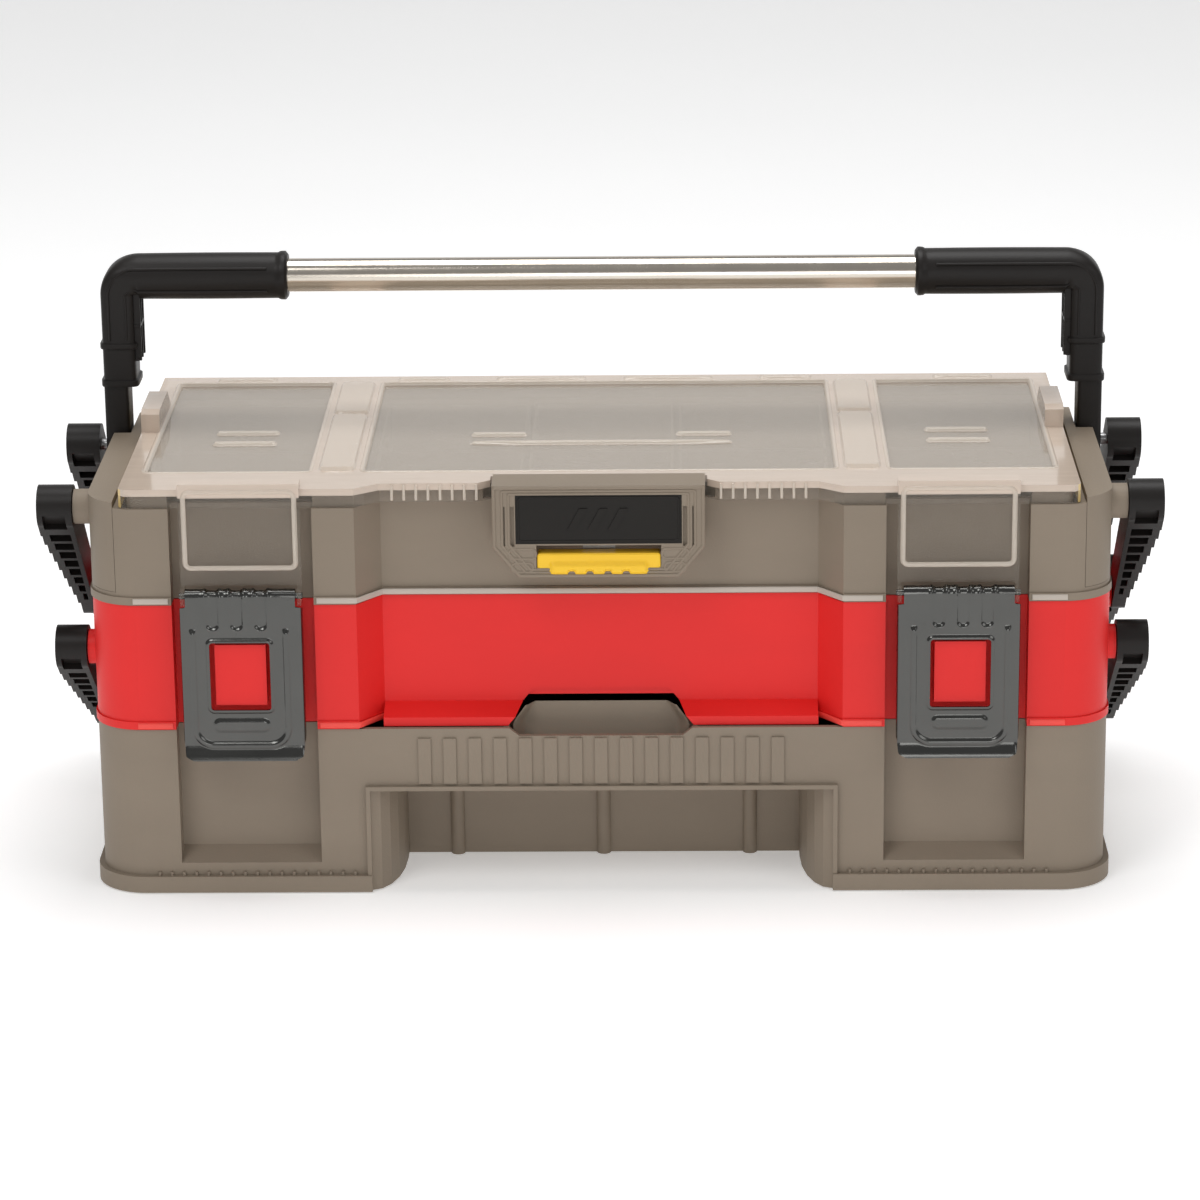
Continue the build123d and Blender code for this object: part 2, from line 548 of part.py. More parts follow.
# ---------------------------------------------------------------- latches
def latch_pin():
    """Pin between the tongue's flanges that the right latch plate hangs on."""
    return rod_x(LATCH_PIN_Y, LATCH_PIN_Z, LATCH_PIN_R, TONGUE_INNER - 0.6, TONGUE_OUTER + 0.6)


def latch_plate():
    """Right latch: pressed plate with a window, folded sides, curl and flared lip."""
    x0 = TONGUE_INNER + 2 + SLIDE_GAP
    x1 = TONGUE_OUTER - 2 - SLIDE_GAP
    w0 = TONGUE_INNER - 0.2
    w1 = TONGUE_OUTER + 0.8
    f = -LATCH_FACE
    b = f + LATCH_SHEET
    upper = block(x0, x1, f, b, TONGUE_LOW - 6, LATCH_PIN_Z)
    face = block(w0, w1, f, b, LATCH_LOW + 8, TONGUE_LOW - 4)
    lip = profile_x([(b, LATCH_LOW + 9), (b, LATCH_LOW + 6), (-LATCH_PROUD + LATCH_SHEET, LATCH_LOW),
                     (-LATCH_PROUD, LATCH_LOW), (f, LATCH_LOW + 7), (f, LATCH_LOW + 9)], w0, w1)
    side_a = block(w0, w0 + LATCH_SHEET, f, f + LATCH_SIDE, LATCH_LOW + 10, TONGUE_LOW - 4)
    side_b = block(w1 - LATCH_SHEET, w1, f, f + LATCH_SIDE, LATCH_LOW + 10, TONGUE_LOW - 4)
    curl = rod_x(LATCH_PIN_Y, LATCH_PIN_Z, -f + LATCH_PIN_Y, x0, x1)
    bore = rod_x(LATCH_PIN_Y, LATCH_PIN_Z, LATCH_PIN_R + RUN, x0 - 1, x1 + 1)
    body = joined([upper, face, lip, side_a, side_b, curl]) - bore
    a0, a1, z0, z1 = LATCH_WINDOW
    return body - block(a0, a1, -20, 0, z0, z1)


# ---------------------------------------------------------------- arms
def arm(top, run, drop, x_face, x_hub):
    """One arm from its upper pivot to its lower one: hub, ladder and stepped outer plate."""
    length = math.hypot(run, drop)
    x0 = x_face
    x1 = x_hub
    thick = x1 - x0
    hub = rod_x(0, 0, HUB_R, x0, x1)
    tip = rod_x(0, -length, TIP_R, x0, x0 + TIP_THICK)
    body = joined([hub, tip])
    steps = math.ceil((length - 2) / ARM_PITCH) - 1
    for i in range(steps + 1):
        z1 = -2 - i * ARM_PITCH
        z0 = max(z1 - ARM_PITCH - 0.2, -length)
        share = min(1.0, -z0 / length)
        width = HUB_R + (TIP_R - HUB_R) * share
        outer = x1 - (thick - TIP_THICK) * min(1.0, max(0.0, (-z1 - 6) / (length - 16)))
        body = body + block(x0, outer, -width, width, z0, z1)
    pocket_half = (ARM_PITCH - ARM_PLATE) / 2
    for i in range(steps + 1):
        z = -HUB_R - 3 - i * ARM_PITCH
        outer = x1 - (thick - TIP_THICK) * min(1.0, (-z + 2) / (length - 16))
        if -z > length - TIP_R or outer - x0 < 2 * ARM_PLATE + 1.2:
            break
        for side in (-1, 1):
            near = side * ARM_PLATE / 2
            far = side * (HUB_R + 2)
            cut = block(x0 + ARM_PLATE, outer - ARM_PLATE, min(near, far), max(near, far),
                        z - pocket_half, z + pocket_half)
            body = body - cut
    face = block(x0 + 3.2, x1 - 2.8, -HUB_R - 1, -HUB_R + 3.5, -4.6, 6.2)
    body = body - face
    bore = rod_x(0, 0, PIN_R + RUN, x0 - 1, x1 + 1)
    low_bore = rod_x(0, -length, PIN_R + RUN, x0 - 1, x1 + 1)
    seat = rod_x(0, 0, PIN_HEAD_R + 0.2, x1 - PIN_HEAD - 0.3, x1 + 1)
    low_seat = rod_x(0, -length, PIN_HEAD_R + 0.2, x0 + TIP_THICK - PIN_HEAD - 0.3, x1 + 1)
    body = without(body, [bore, low_bore, seat, low_seat])
    turn = math.degrees(math.atan2(run, drop))
    local = Pos(0, -Y_ORIGIN, 0) * body
    return Pos(0, y(top[0]), top[1]) * Rot(turn, 0, 0) * local


def pin(depth, z, root, reach):
    """Shoulder pin along X from its seat in a wall to its head in an arm."""
    shank = rod_x(depth, z, PIN_R - 0.01, root, reach - 0.4)
    head = rod_x(depth, z, PIN_HEAD_R, reach - PIN_HEAD, reach - 0.2)
    return shank + head


def pins(points, root, reach):
    """The four pins of one row of pivots."""
    result = []
    for depth, z in points:
        result.extend(both(pin(depth, z, root, reach)))
    return group(result)


# ---------------------------------------------------------------- handle
def handle_tube():
    """Steel tube of the handle."""
    long = 2 * (LEG_INNER - 1)
    body = rod_x(UPPER_REAR[0], HANDLE_Z, TUBE_R, -long / 2, long / 2)
    return body - rod_x(UPPER_REAR[0], HANDLE_Z, TUBE_R - TUBE_WALL, -long / 2 - 1, long / 2 + 1)


def handle_elbow():
    """Right grip, elbow and leg in one moulding, with a ribbed inner side."""
    d, z = UPPER_REAR
    grip = rod_x(d, HANDLE_Z, GRIP_R, TUBE_BARE - 0.5, LEG_OUTER - ELBOW_R)
    collar = rod_x(d, HANDLE_Z, GRIP_R + 0.8, TUBE_BARE, TUBE_BARE + 4)
    corner_x = LEG_OUTER - ELBOW_R
    corner_z = HANDLE_Z + GRIP_R - ELBOW_R
    half = LEG_DEPTH / 2
    elbow = Pos(corner_x, y(d), corner_z) * Rot(90, 0, 0) * Cylinder(ELBOW_R, LEG_DEPTH)
    elbow = elbow & block(corner_x - 8, LEG_OUTER, d - half, d + half, corner_z - 6, HANDLE_Z + GRIP_R)
    top = z + NECK_TOP
    leg = block(LEG_INNER, LEG_OUTER, d - half, d + half, top, corner_z + 1)
    inner = block(LEG_INNER - LADDER_REACH, LEG_INNER + 1, d - 6, d + 6, top + 12, corner_z)
    low_band = block(LEG_INNER - 1, LEG_OUTER + 1.2, d - half - 1, d + half + 1, top, top + 3)
    high_band = block(LEG_INNER - 1, LEG_OUTER + 1.2, d - half - 1, d + half + 1, top + 20, top + 23)
    neck = block(LEG_NECK[0], LEG_NECK[1], d - EYE_R + 1, d + EYE_R - 1, z, top + 1)
    eye = rod_x(d, z, EYE_R, LEG_NECK[0], LEG_NECK[1])
    body = joined([grip, collar, elbow, leg, inner, low_band, high_band, neck, eye])
    for i in range(5):
        low = top + 14 + i * 7.6
        window = block(LEG_INNER - 8, LEG_INNER + 5, d - half + 4, d + half - 4, low, low + 5.2)
        if low + 6 < corner_z:
            body = body - (window - block(LEG_INNER - 9, LEG_OUTER, d - 1.2, d + 1.2, low - 1, low + 8))
    body = body - rod_x(d, HANDLE_Z, TUBE_R + 0.01, TUBE_BARE - 2, LEG_INNER - 0.8)
    return body - rod_x(d, z, PIN_R + RUN, LEG_NECK[0] - 1, LEG_NECK[1] + 1)


# ---------------------------------------------------------------- housing, badge and catch
def front_housing():
    """Raised frame at the middle of the top tray's front, with pockets for badge and catch."""
    f = -HOUSING_FRONT
    low = HOUSING_LOW
    chamfer = HOUSING_CHAMFER
    side = HOUSING_HALF
    face = [(-side, HOUSING_TOP), (-side, low + chamfer), (-side + chamfer * 0.8, low),
            (side - chamfer * 0.8, low), (side, low + chamfer), (side, HOUSING_TOP)]
    body = profile_y(face, f, RECESS_DEPTH - 0.2)
    back = block(-side, side, RECESS_DEPTH - 1, HOUSING_BACK, SHOULDER + 1, HOUSING_TOP)
    body = body + back
    hollow = block(-side + 5, side - 5, f + 7, RECESS_DEPTH + 1, CATCH_HIGH, HOUSING_TOP - 2.4)
    badge = block(-BADGE_HALF - 0.1, BADGE_HALF + 0.1, f - 1, f + BADGE_THICK, BADGE_LOW - 0.1,
                  BADGE_HIGH + 0.1)
    catch = block(-CATCH_HALF - SLIDE_GAP, CATCH_HALF + SLIDE_GAP, f - 1, RECESS_DEPTH + 1,
                  CATCH_LOW - CATCH_TRAVEL - 0.4, CATCH_HIGH + 0.4)
    body = body - hollow - badge - catch
    for i in range(2):
        inset = 4.2 + 4.6 * i
        for sign in (-1, 1):
            xa = sign * (side - inset)
            groove = block(min(xa, xa - sign * 2.2), max(xa, xa - sign * 2.2), f - 1, f + 1.6,
                           low + chamfer, BADGE_HIGH - 6)
            body = body - groove
    return body


def badge_plate():
    """Plain plate let into the housing, with a raised border and three slanted bars."""
    f = -HOUSING_FRONT + 0.2
    body = block(-BADGE_HALF, BADGE_HALF, f, -HOUSING_FRONT + BADGE_THICK, BADGE_LOW, BADGE_HIGH)
    mid = (BADGE_LOW + BADGE_HIGH) / 2
    for i in (-1, 0, 1):
        x = i * 10.0
        bar = profile_y([(x - 5.5, mid - 5.5), (x - 1.5, mid - 5.5), (x + 4.5, mid + 5.5),
                         (x + 0.5, mid + 5.5)], f - 0.6, f + 0.5)
        body = body + bar
    return body


def catch_slider():
    """Yellow catch that is pushed up, with a grip bulge and finger notches."""
    f = -HOUSING_FRONT
    z0 = CATCH_LOW - 0.4
    z1 = CATCH_HIGH - CATCH_TRAVEL
    body = block(-CATCH_HALF, CATCH_HALF, f + 0.6, f + 9, z0, z1)
    bulge = block(-CATCH_HALF + 6, CATCH_HALF - 6, f - 2.2, f + 1, z0 - 1.0, z1 - 3)
    body = body + bulge
    for i in range(4):
        x = -13.5 + 9 * i
        body = body - block(x - 1.6, x + 1.6, f - 3, f - 0.4, z0 - 1.2, z0 + 1.6)
    return body


def catch_spring():
    """Leaf spring over the catch, inside the housing."""
    f = -HOUSING_FRONT
    return block(-8, 8, f + 9.6, f + 10.2, CATCH_LOW + 2, CATCH_LOW + 26)


# ---------------------------------------------------------------- inserts
def organizer_cup(x0, x1, d0, d1):
    """Removable cup of the top tray."""
    z0 = SEAM_HIGH + SEAM_GAP + FLOOR + 0.2
    z1 = SHOULDER - 3
    outer = block(x0, x1, d0, d1, z0, z1)
    w = CUP_WALL
    return outer - block(x0 + w, x1 - w, d0 + w, d1 - w, z0 + w, z1 + 1)


def organizer_cups():
    """Removable cups, large ones in the middle and small ones at the ends."""
    front = RECESS_DEPTH + WALL + 2
    rear = HINGE_Y - KNUCKLE_R - 5
    middle = (front + rear) / 2
    spans = list(zip(CUP_MIDDLE[::2], CUP_MIDDLE[1::2]))
    spans = spans + [CUP_END, (-CUP_END[1], -CUP_END[0])]
    cups = []
    for x0, x1 in spans:
        cups.append(organizer_cup(x0, x1, front, middle - 1))
        cups.append(organizer_cup(x0, x1, middle + 1, rear))
    return group(cups)


def main():
    """Write every node."""
    os.makedirs("parts", exist_ok=True)
    upper_low = pivots((UPPER_FRONT, UPPER_REAR), UPPER_RUN, UPPER_DROP)
    lower_low = pivots((LOWER_FRONT, LOWER_REAR), LOWER_RUN, LOWER_DROP)
    save("base_bin", base_bin())
    save("middle_tray", middle_tray())
    save("top_tray", top_tray())
    save("clear_lid", clear_lid())
    save("lid_hinge_rod", hinge_rod())
    cap = end_cap()
    elbow = handle_elbow()
    plate = latch_plate()
    catch_pin = latch_pin()
    for side, place in (("right", lambda s: s), ("left", mirrored)):
        save(f"end_cap_{side}", place(cap))
        save(f"handle_elbow_{side}", place(elbow))
        save(f"latch_plate_{side}", place(plate))
        save(f"latch_pin_{side}", place(catch_pin))
        rows = (("upper", UPPER_FRONT, UPPER_REAR, UPPER_RUN, UPPER_DROP, UPPER_ARM_X),
                ("lower", LOWER_FRONT, LOWER_REAR, LOWER_RUN, LOWER_DROP, LOWER_ARM_X))
        for row, front, rear, run, drop, face in rows:
            save(f"{row}_front_arm_{side}", place(arm(front, run, drop, face[0], face[1])))
            save(f"{row}_rear_arm_{side}", place(arm(rear, run, drop, face[0], face[1])))
    save("handle_tube", handle_tube())
    save("front_housing", front_housing())
    save("badge_plate", badge_plate())
    save("catch_slider", catch_slider())
    save("catch_spring", catch_spring())
    save("organizer_cups", organizer_cups())
    root = HALF - BOSS_INSIDE + WALL + 0.1
    save("base_pivot_pins", pins(lower_low, root, LOWER_ARM_X[0] + TIP_THICK))
    save("tray_lower_pivot_pins", pins((LOWER_FRONT, LOWER_REAR), root, LOWER_ARM_X[1]))
    save("tray_upper_pivot_pins", pins(upper_low, root, UPPER_ARM_X[0] + TIP_THICK))
    save("top_front_pivot_pins", pins((UPPER_FRONT,), CAP_SEAM + 6.1, UPPER_ARM_X[1]))
    save("handle_pivot_pins", pins((UPPER_REAR,), CAP_SEAM + 1.6, UPPER_ARM_X[1]))


if __name__ == "__main__":
    main()
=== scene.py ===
"""Looks of the cantilever toolbox: materials, pressed latches, handle grips, lid trim and studio."""

from __future__ import annotations

import json
import logging
import math
from dataclasses import dataclass
from enum import Enum
from typing import Any, Callable, Sequence

import bpy
import numpy as np
from mathutils import Matrix, Vector

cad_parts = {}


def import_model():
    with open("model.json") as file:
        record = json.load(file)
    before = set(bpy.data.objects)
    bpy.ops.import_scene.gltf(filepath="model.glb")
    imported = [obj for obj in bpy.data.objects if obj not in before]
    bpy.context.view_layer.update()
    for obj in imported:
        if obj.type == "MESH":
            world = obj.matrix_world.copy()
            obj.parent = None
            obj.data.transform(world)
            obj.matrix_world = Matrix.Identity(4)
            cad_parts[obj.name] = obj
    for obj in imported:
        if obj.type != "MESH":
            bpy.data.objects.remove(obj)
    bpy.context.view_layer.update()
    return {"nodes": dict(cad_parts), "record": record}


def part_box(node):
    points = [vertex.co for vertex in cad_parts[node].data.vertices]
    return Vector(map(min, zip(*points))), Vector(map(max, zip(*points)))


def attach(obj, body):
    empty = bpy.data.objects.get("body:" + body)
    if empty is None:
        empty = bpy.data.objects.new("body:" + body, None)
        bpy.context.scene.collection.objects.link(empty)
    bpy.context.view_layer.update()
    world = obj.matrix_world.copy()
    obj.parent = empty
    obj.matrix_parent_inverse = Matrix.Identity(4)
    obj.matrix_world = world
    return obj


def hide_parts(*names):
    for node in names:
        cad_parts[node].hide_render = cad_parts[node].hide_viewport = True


LOG = logging.getLogger("toolbox")
MM = 0.001
RGB = tuple[float, float, float]
Grid = np.ndarray


# ---------------------------------------------------------------- shader maths
class Value:
    """A node socket that adds Math nodes when it is used in an expression."""

    def __init__(self, graph: "Graph", socket: Any) -> None:
        """Keep the graph and the socket.

        Args:
            graph: the material's node graph.
            socket: an output socket that carries a number.
        """
        self.graph = graph
        self.socket = socket

    def _math(self, operation: str, *values: Any) -> "Value":
        """Result of one Math node over these values."""
        return self.graph.node("ShaderNodeMath", {"operation": operation}, *values)

    def __add__(self, other: Any) -> "Value":
        """Sum."""
        return self._math("ADD", self, other)

    __radd__ = __add__

    def __sub__(self, other: Any) -> "Value":
        """Difference."""
        return self._math("SUBTRACT", self, other)

    def __rsub__(self, other: Any) -> "Value":
        """Difference, the other way round."""
        return self._math("SUBTRACT", other, self)

    def __mul__(self, other: Any) -> "Value":
        """Product."""
        return self._math("MULTIPLY", self, other)

    __rmul__ = __mul__

    def near(self, centre: float, half: float) -> "Value":
        """1 where the value is within half of the centre, else 0."""
        return self._math("COMPARE", self, centre, half)

    def over(self, limit: float) -> "Value":
        """1 where the value is over the limit, else 0."""
        return self._math("GREATER_THAN", self, limit)

    def size(self) -> "Value":
        """The value without its sign."""
        return self._math("ABSOLUTE", self)

    def clamp(self) -> "Value":
        """The value held between 0 and 1."""
        return self.graph.node("ShaderNodeClamp", {}, self)


class Graph:
    """Node graph of one material with a Principled shader at its end."""

    def __init__(self, name: str) -> None:
        """Start an empty material.

        Args:
            name: the material's name.
        """
        self.material = bpy.data.materials.new(name)
        self.material.use_nodes = True
        self.tree = self.material.node_tree
        self.tree.nodes.clear()
        self.out = self.tree.nodes.new("ShaderNodeOutputMaterial")
        self.shader = self.tree.nodes.new("ShaderNodeBsdfPrincipled")
        self.tree.links.new(self.shader.outputs[0], self.out.inputs[0])
        coords = self.tree.nodes.new("ShaderNodeTexCoord")
        self.position = Value(self, coords.outputs["Object"])

    def feed(self, socket: Any, value: Any) -> None:
        """Link a socket to a value, or set its number.

        Args:
            socket: the input socket.
            value: a Value, or a plain number or colour.
        """
        if isinstance(value, Value):
            self.tree.links.new(value.socket, socket)
        elif isinstance(value, (tuple, list)) and len(value) == 3 and len(socket.default_value) == 4:
            socket.default_value = (*value, 1.0)
        else:
            socket.default_value = value

    def node(self, kind: str, settings: dict[str, Any], *values: Any, output: int = 0,
             **named: Any) -> Value:
        """Add one node.

        Args:
            kind: the node's type.
            settings: the node's own properties, set first. "stops" are a ramp's stops.
            values: the inputs in order. None leaves an input as it is.
            output: which output is returned.
            named: inputs by name, with _ for a space.

        Returns:
            The chosen output.
        """
        made = self.tree.nodes.new(kind)
        for key, setting in settings.items():
            if key == "stops":
                ramp = made.color_ramp
                while len(ramp.elements) < len(setting):
                    ramp.elements.new(0.5)
                for element, (place, tone) in zip(ramp.elements, setting):
                    element.position = place
                    element.color = (*tone, 1.0) if isinstance(tone, tuple) else (tone, tone, tone, 1.0)
            else:
                setattr(made, key, setting)
        for socket, value in zip(made.inputs, values):
            if value is not None:
                self.feed(socket, value)
        for key, value in named.items():
            self.feed(made.inputs[key.replace("_", " ")], value)
        return Value(self, made.outputs[output])

    def noise(self, scale: float, detail: float = 3.0, roughness: float = 0.5,
              at: Value | None = None) -> Value:
        """Noise in Object coordinates.

        Args:
            scale: features per metre.
            detail: octaves.
            roughness: how strong the finer octaves are.
            at: coordinates to use in place of the plain ones.

        Returns:
            The noise, about 0 to 1.
        """
        return self.node("ShaderNodeTexNoise", {}, Vector=at or self.position, Scale=scale,
                         Detail=detail, Roughness=roughness)

    def stretched(self, scale: RGB) -> Value:
        """Object coordinates scaled along each axis."""
        return self.node("ShaderNodeMapping", {}, self.position, Scale=scale)

    def ramp(self, value: Value, *stops: tuple[float, Any]) -> Value:
        """The value sent through a ramp of tones or colours."""
        return self.node("ShaderNodeValToRGB", {"stops": stops}, value)

    def mix(self, factor: Any, first: Any, second: Any) -> Value:
        """Mix of two colours."""
        made = self.tree.nodes.new("ShaderNodeMix")
        made.data_type = "RGBA"
        self.feed(made.inputs[0], factor)
        self.feed(made.inputs[6], first)
        self.feed(made.inputs[7], second)
        return Value(self, made.outputs[2])

    def bump(self, height: Value, strength: float, distance: float) -> None:
        """Feed the shader's normal from a height.

        Args:
            height: the height, about 0 to 1.
            strength: how strong the bump is.
            distance: how high it is, in metres.
        """
        normal = self.node("ShaderNodeBump", {}, Strength=strength, Distance=distance, Height=height)
        self.feed(self.shader.inputs["Normal"], normal)

    def set(self, **values: Any) -> None:
        """Set or link the shader's sockets by name, with _ for a space."""
        for key, value in values.items():
            self.feed(self.shader.inputs[key.replace("_", " ")], value)


# ---------------------------------------------------------------- finishes
@dataclass(frozen=True)
class MouldedPlastic:
    """Injection-moulded plastic with a fine spark-eroded texture, faint flow marks and scuffs."""

    name: str
    colour: RGB
    roughness: float = 0.5
    grain: float = 0.6
    grain_scale: float = 1500.0
    flow: float = 0.12
    gloss: float = 0.35

    def build(self) -> bpy.types.Material:
        """Make the material.

        Returns:
            The finished material.
        """
        g = Graph(self.name)
        fine = g.noise(self.grain_scale, 2.0, 0.6)
        pits = g.node("ShaderNodeTexVoronoi", {"feature": "F1"}, Vector=g.position,
                      Scale=self.grain_scale * 0.55)
        flow = g.noise(9.0, 4.0, 0.55, g.stretched((1.0, 1.0, 2.6)))
        scuff = g.ramp(g.noise(46.0, 6.0, 0.72, g.stretched((1.0, 1.0, 5.0))), (0.62, 0.0), (0.74, 1.0))
        dark = tuple(c * (1.0 - self.flow) for c in self.colour)
        light = tuple(min(1.0, c * (1.0 + self.flow) + 0.004) for c in self.colour)
        base = g.mix(flow, dark, light)
        speck = g.mix(fine * 0.22, base, light)
        g.set(Base_Color=g.mix(scuff * 0.10, speck, tuple(min(1.0, c * 1.25 + 0.02) for c in self.colour)))
        g.set(Roughness=(fine * 0.16 + flow * 0.10 + (self.roughness - 0.12) - scuff * 0.05).clamp())
        g.set(IOR=1.49, Specular_IOR_Level=self.gloss)
        g.bump(fine * 0.6 + pits * 0.5, self.grain, 0.00012)
        return g.material


@dataclass(frozen=True)
class ClearPlastic:
    """Clear glossy plastic, slightly warm, with faint haze and fine wipe marks."""

    name: str
    tint: RGB
    alpha: float
    haze: float = 0.10

    def build(self) -> bpy.types.Material:
        """Make the material.

        Returns:
            The finished material.
        """
        g = Graph(self.name)
        wave = g.noise(16.0, 2.0, 0.5)
        wipe = g.noise(30.0, 5.0, 0.7, g.stretched((1.0, 7.0, 1.0)))
        dust = g.ramp(g.noise(900.0, 2.0, 0.5), (0.66, 0.0), (0.72, 1.0))
        rim = g.node("ShaderNodeLayerWeight", {}, Blend=0.32, output=1)
        colour, cover = self.regions(g)
        g.set(Base_Color=g.mix(wipe * 0.3, colour, tuple(c * 0.90 for c in self.tint)))
        g.set(Roughness=(wipe * self.haze + dust * 0.12 + 0.05).clamp())
        g.set(Alpha=(rim * 0.14 + wipe * 0.03 + dust * 0.03 + cover).clamp())
        g.set(IOR=1.58, Specular_IOR_Level=0.6, Coat_Weight=0.25, Coat_Roughness=0.04)
        g.bump(wave, 0.05, 0.0010)
        g.material.surface_render_method = "BLENDED"
        return g.material

    def regions(self, g: Graph) -> tuple[Any, Any]:
        """Colour and cover over the piece, here the same all over."""
        return self.tint, self.alpha


@dataclass(frozen=True)
class LidPlastic(ClearPlastic):
    """The lid's clear plastic: milky on the deck, greyer in its windows, yellow at its ends."""

    window: RGB = (0.62, 0.54, 0.45)
    edge: RGB = (0.80, 0.58, 0.22)
    deck: RGB = (0.84, 0.69, 0.57)

    def regions(self, g: Graph) -> tuple[Any, Any]:
        """Colour and cover from the position on the lid.

        The deck is what lies above a level near the lid's top. The windows are three boxes in
        plan, and the ends are what lies far out along the length.
        """
        parts = g.tree.nodes.new("ShaderNodeSeparateXYZ")
        g.feed(parts.inputs[0], g.position)
        x, y, z = (Value(g, parts.outputs[i]) for i in range(3))
        reach = x.size()
        rows = y.near(0.0110, 0.0862)
        windows = (reach.near(0.0, 0.1184) + reach.near(0.18625, 0.0414)).clamp() * rows
        top = z.over(0.2085)
        ends = reach.over(0.2362) * z.near(0.2065, 0.0052)
        milky = top * (1.0 - windows)
        glass = top * windows
        colour = g.mix(milky, g.mix(glass, self.tint, self.window), self.deck)
        colour = g.mix(ends, colour, self.edge)
        return colour, milky * 0.60 + glass * 0.36 + ends * 0.6 + self.alpha


@dataclass(frozen=True)
class PlatedSteel:
    """Zinc-plated or drawn steel: brushed streaks, cloudy plating and small marks."""

    name: str
    colour: RGB
    roughness: float
    streak: RGB = (1.0, 1.0, 12.0)
    cloud: float = 0.18

    def build(self) -> bpy.types.Material:
        """Make the material.

        Returns:
            The finished material.
        """
        g = Graph(self.name)
        brushed = g.noise(260.0, 4.0, 0.65, g.stretched(self.streak))
        clouds = g.noise(34.0, 4.0, 0.6)
        marks = g.ramp(g.noise(420.0, 5.0, 0.7), (0.64, 0.0), (0.70, 1.0))
        dark = tuple(c * (1.0 - self.cloud) for c in self.colour)
        tone = g.mix(clouds, dark, self.colour)
        g.set(Base_Color=g.mix(marks * 0.25, tone, tuple(c * 0.6 for c in self.colour)))
        g.set(Metallic=1.0)
        g.set(Roughness=(brushed * 0.14 + clouds * 0.12 + marks * 0.1 + (self.roughness - 0.13)).clamp())
        g.bump(brushed * 0.5 + clouds * 0.3, 0.10, 0.0002)
        return g.material


class Finish(Enum):
    """Every finish on the object."""

    GREY = MouldedPlastic("finish_taupe_plastic", (0.262, 0.212, 0.160), 0.55, 0.55)
    # The two bead finishes below are lighter copies of the grey and red plastics: painted highlight on the
    # trays' bottom beads.
    BEAD_GREY = MouldedPlastic("finish_bead_grey", (0.52, 0.46, 0.40), 0.38, 0.2)
    BEAD_RED = MouldedPlastic("finish_bead_red", (0.92, 0.075, 0.06), 0.30, 0.2, flow=0.05)
    RED = MouldedPlastic("finish_red_plastic", (0.80, 0.018, 0.016), 0.46, 0.40, flow=0.08)
    BLACK = MouldedPlastic("finish_black_plastic", (0.011, 0.009, 0.008), 0.40, 0.35, flow=0.3, gloss=0.24)
    YELLOW = MouldedPlastic("finish_yellow_plastic", (1.0, 0.60, 0.030), 0.36, 0.15, flow=0.04)
    CUP = MouldedPlastic("finish_cup_plastic", (0.40, 0.365, 0.315), 0.45, 0.20, flow=0.05)
    BADGE = MouldedPlastic("finish_badge_black", (0.012, 0.010, 0.008), 0.36, 0.10, flow=0.2, gloss=0.2)
    CLEAR = LidPlastic("finish_clear_plastic", (0.30, 0.26, 0.21), 0.12)
    CLEAR_EDGE = ClearPlastic("finish_clear_edge", (0.84, 0.74, 0.63), 0.50, 0.16)
    # The zinc finish's colour is set far darker than plated steel's own: painted dark reflection, standing
    # in for dark surroundings that the studio lacks.
    ZINC = PlatedSteel("finish_zinc_steel", (0.115, 0.115, 0.110), 0.17)
    TUBE = PlatedSteel("finish_tube_steel", (0.70, 0.64, 0.56), 0.17, (14.0, 1.0, 1.0), 0.08)
    STEEL = PlatedSteel("finish_pin_steel", (0.42, 0.42, 0.42), 0.34)

    def material(self) -> bpy.types.Material:
        """The finish's material, made the first time it is asked for."""
        found = bpy.data.materials.get(self.value.name)
        return found or self.value.build()


# ---------------------------------------------------------------- mesh helpers
def to_mesh(name: str, points: Grid, faces: Sequence[Sequence[int]], material: bpy.types.Material,
            smooth_angle: float = 35.0) -> bpy.types.Object:
    """Object from an array of points and a list of faces.

    Args:
        name: the piece's name.
        points: N by 3 array, in metres, in the row frame.
        faces: index lists.
        material: the material it wears.
        smooth_angle: faces that meet at less than this are shaded smooth, in degrees.

    Returns:
        The object, at the origin, with outward normals.
    """
    mesh = bpy.data.meshes.new(name)
    mesh.from_pydata(points.tolist(), [], [list(f) for f in faces])
    mesh.validate()
    mesh.update()
    obj = bpy.data.objects.new(name, mesh)
    bpy.context.scene.collection.objects.link(obj)
    mesh.materials.append(material)
    bpy.context.view_layer.objects.active = obj
    for other in bpy.context.selected_objects:
        other.select_set(False)
    obj.select_set(True)
    bpy.ops.object.mode_set(mode="EDIT")
    bpy.ops.mesh.select_all(action="SELECT")
    bpy.ops.mesh.remove_doubles(threshold=1e-7)
    bpy.ops.mesh.normals_make_consistent(inside=False)
    bpy.ops.object.mode_set(mode="OBJECT")
    bpy.ops.object.shade_smooth_by_angle(angle=math.radians(smooth_angle))
    obj.select_set(False)
    return obj


def grid_faces(rows: int, columns: int, wrap: bool = False) -> list[tuple[int, int, int, int]]:
    """Quads of a grid whose points are stored row by row.

    Args:
        rows: number of rows.
        columns: number of columns.
        wrap: whether the last column joins the first.

    Returns:
        The quads' point numbers.
    """
    last = columns if wrap else columns - 1
    r, c = np.meshgrid(np.arange(rows - 1), np.arange(last), indexing="ij")
    n = (c + 1) % columns
    quads = np.stack([r * columns + c, r * columns + n, (r + 1) * columns + n, (r + 1) * columns + c], -1)
    return [tuple(q) for q in quads.reshape(-1, 4).tolist()]


def ring_faces(rows: int, columns: int) -> list[list[int]]:
    """Quads of a grid that joins up both ways, whose points are stored row by row."""
    i, j = np.meshgrid(np.arange(rows), np.arange(columns), indexing="ij")
    i2, j2 = (i + 1) % rows, (j + 1) % columns
    quads = np.stack([i * columns + j, i2 * columns + j, i2 * columns + j2, i * columns + j2], -1)
    return quads.reshape(-1, 4).tolist()


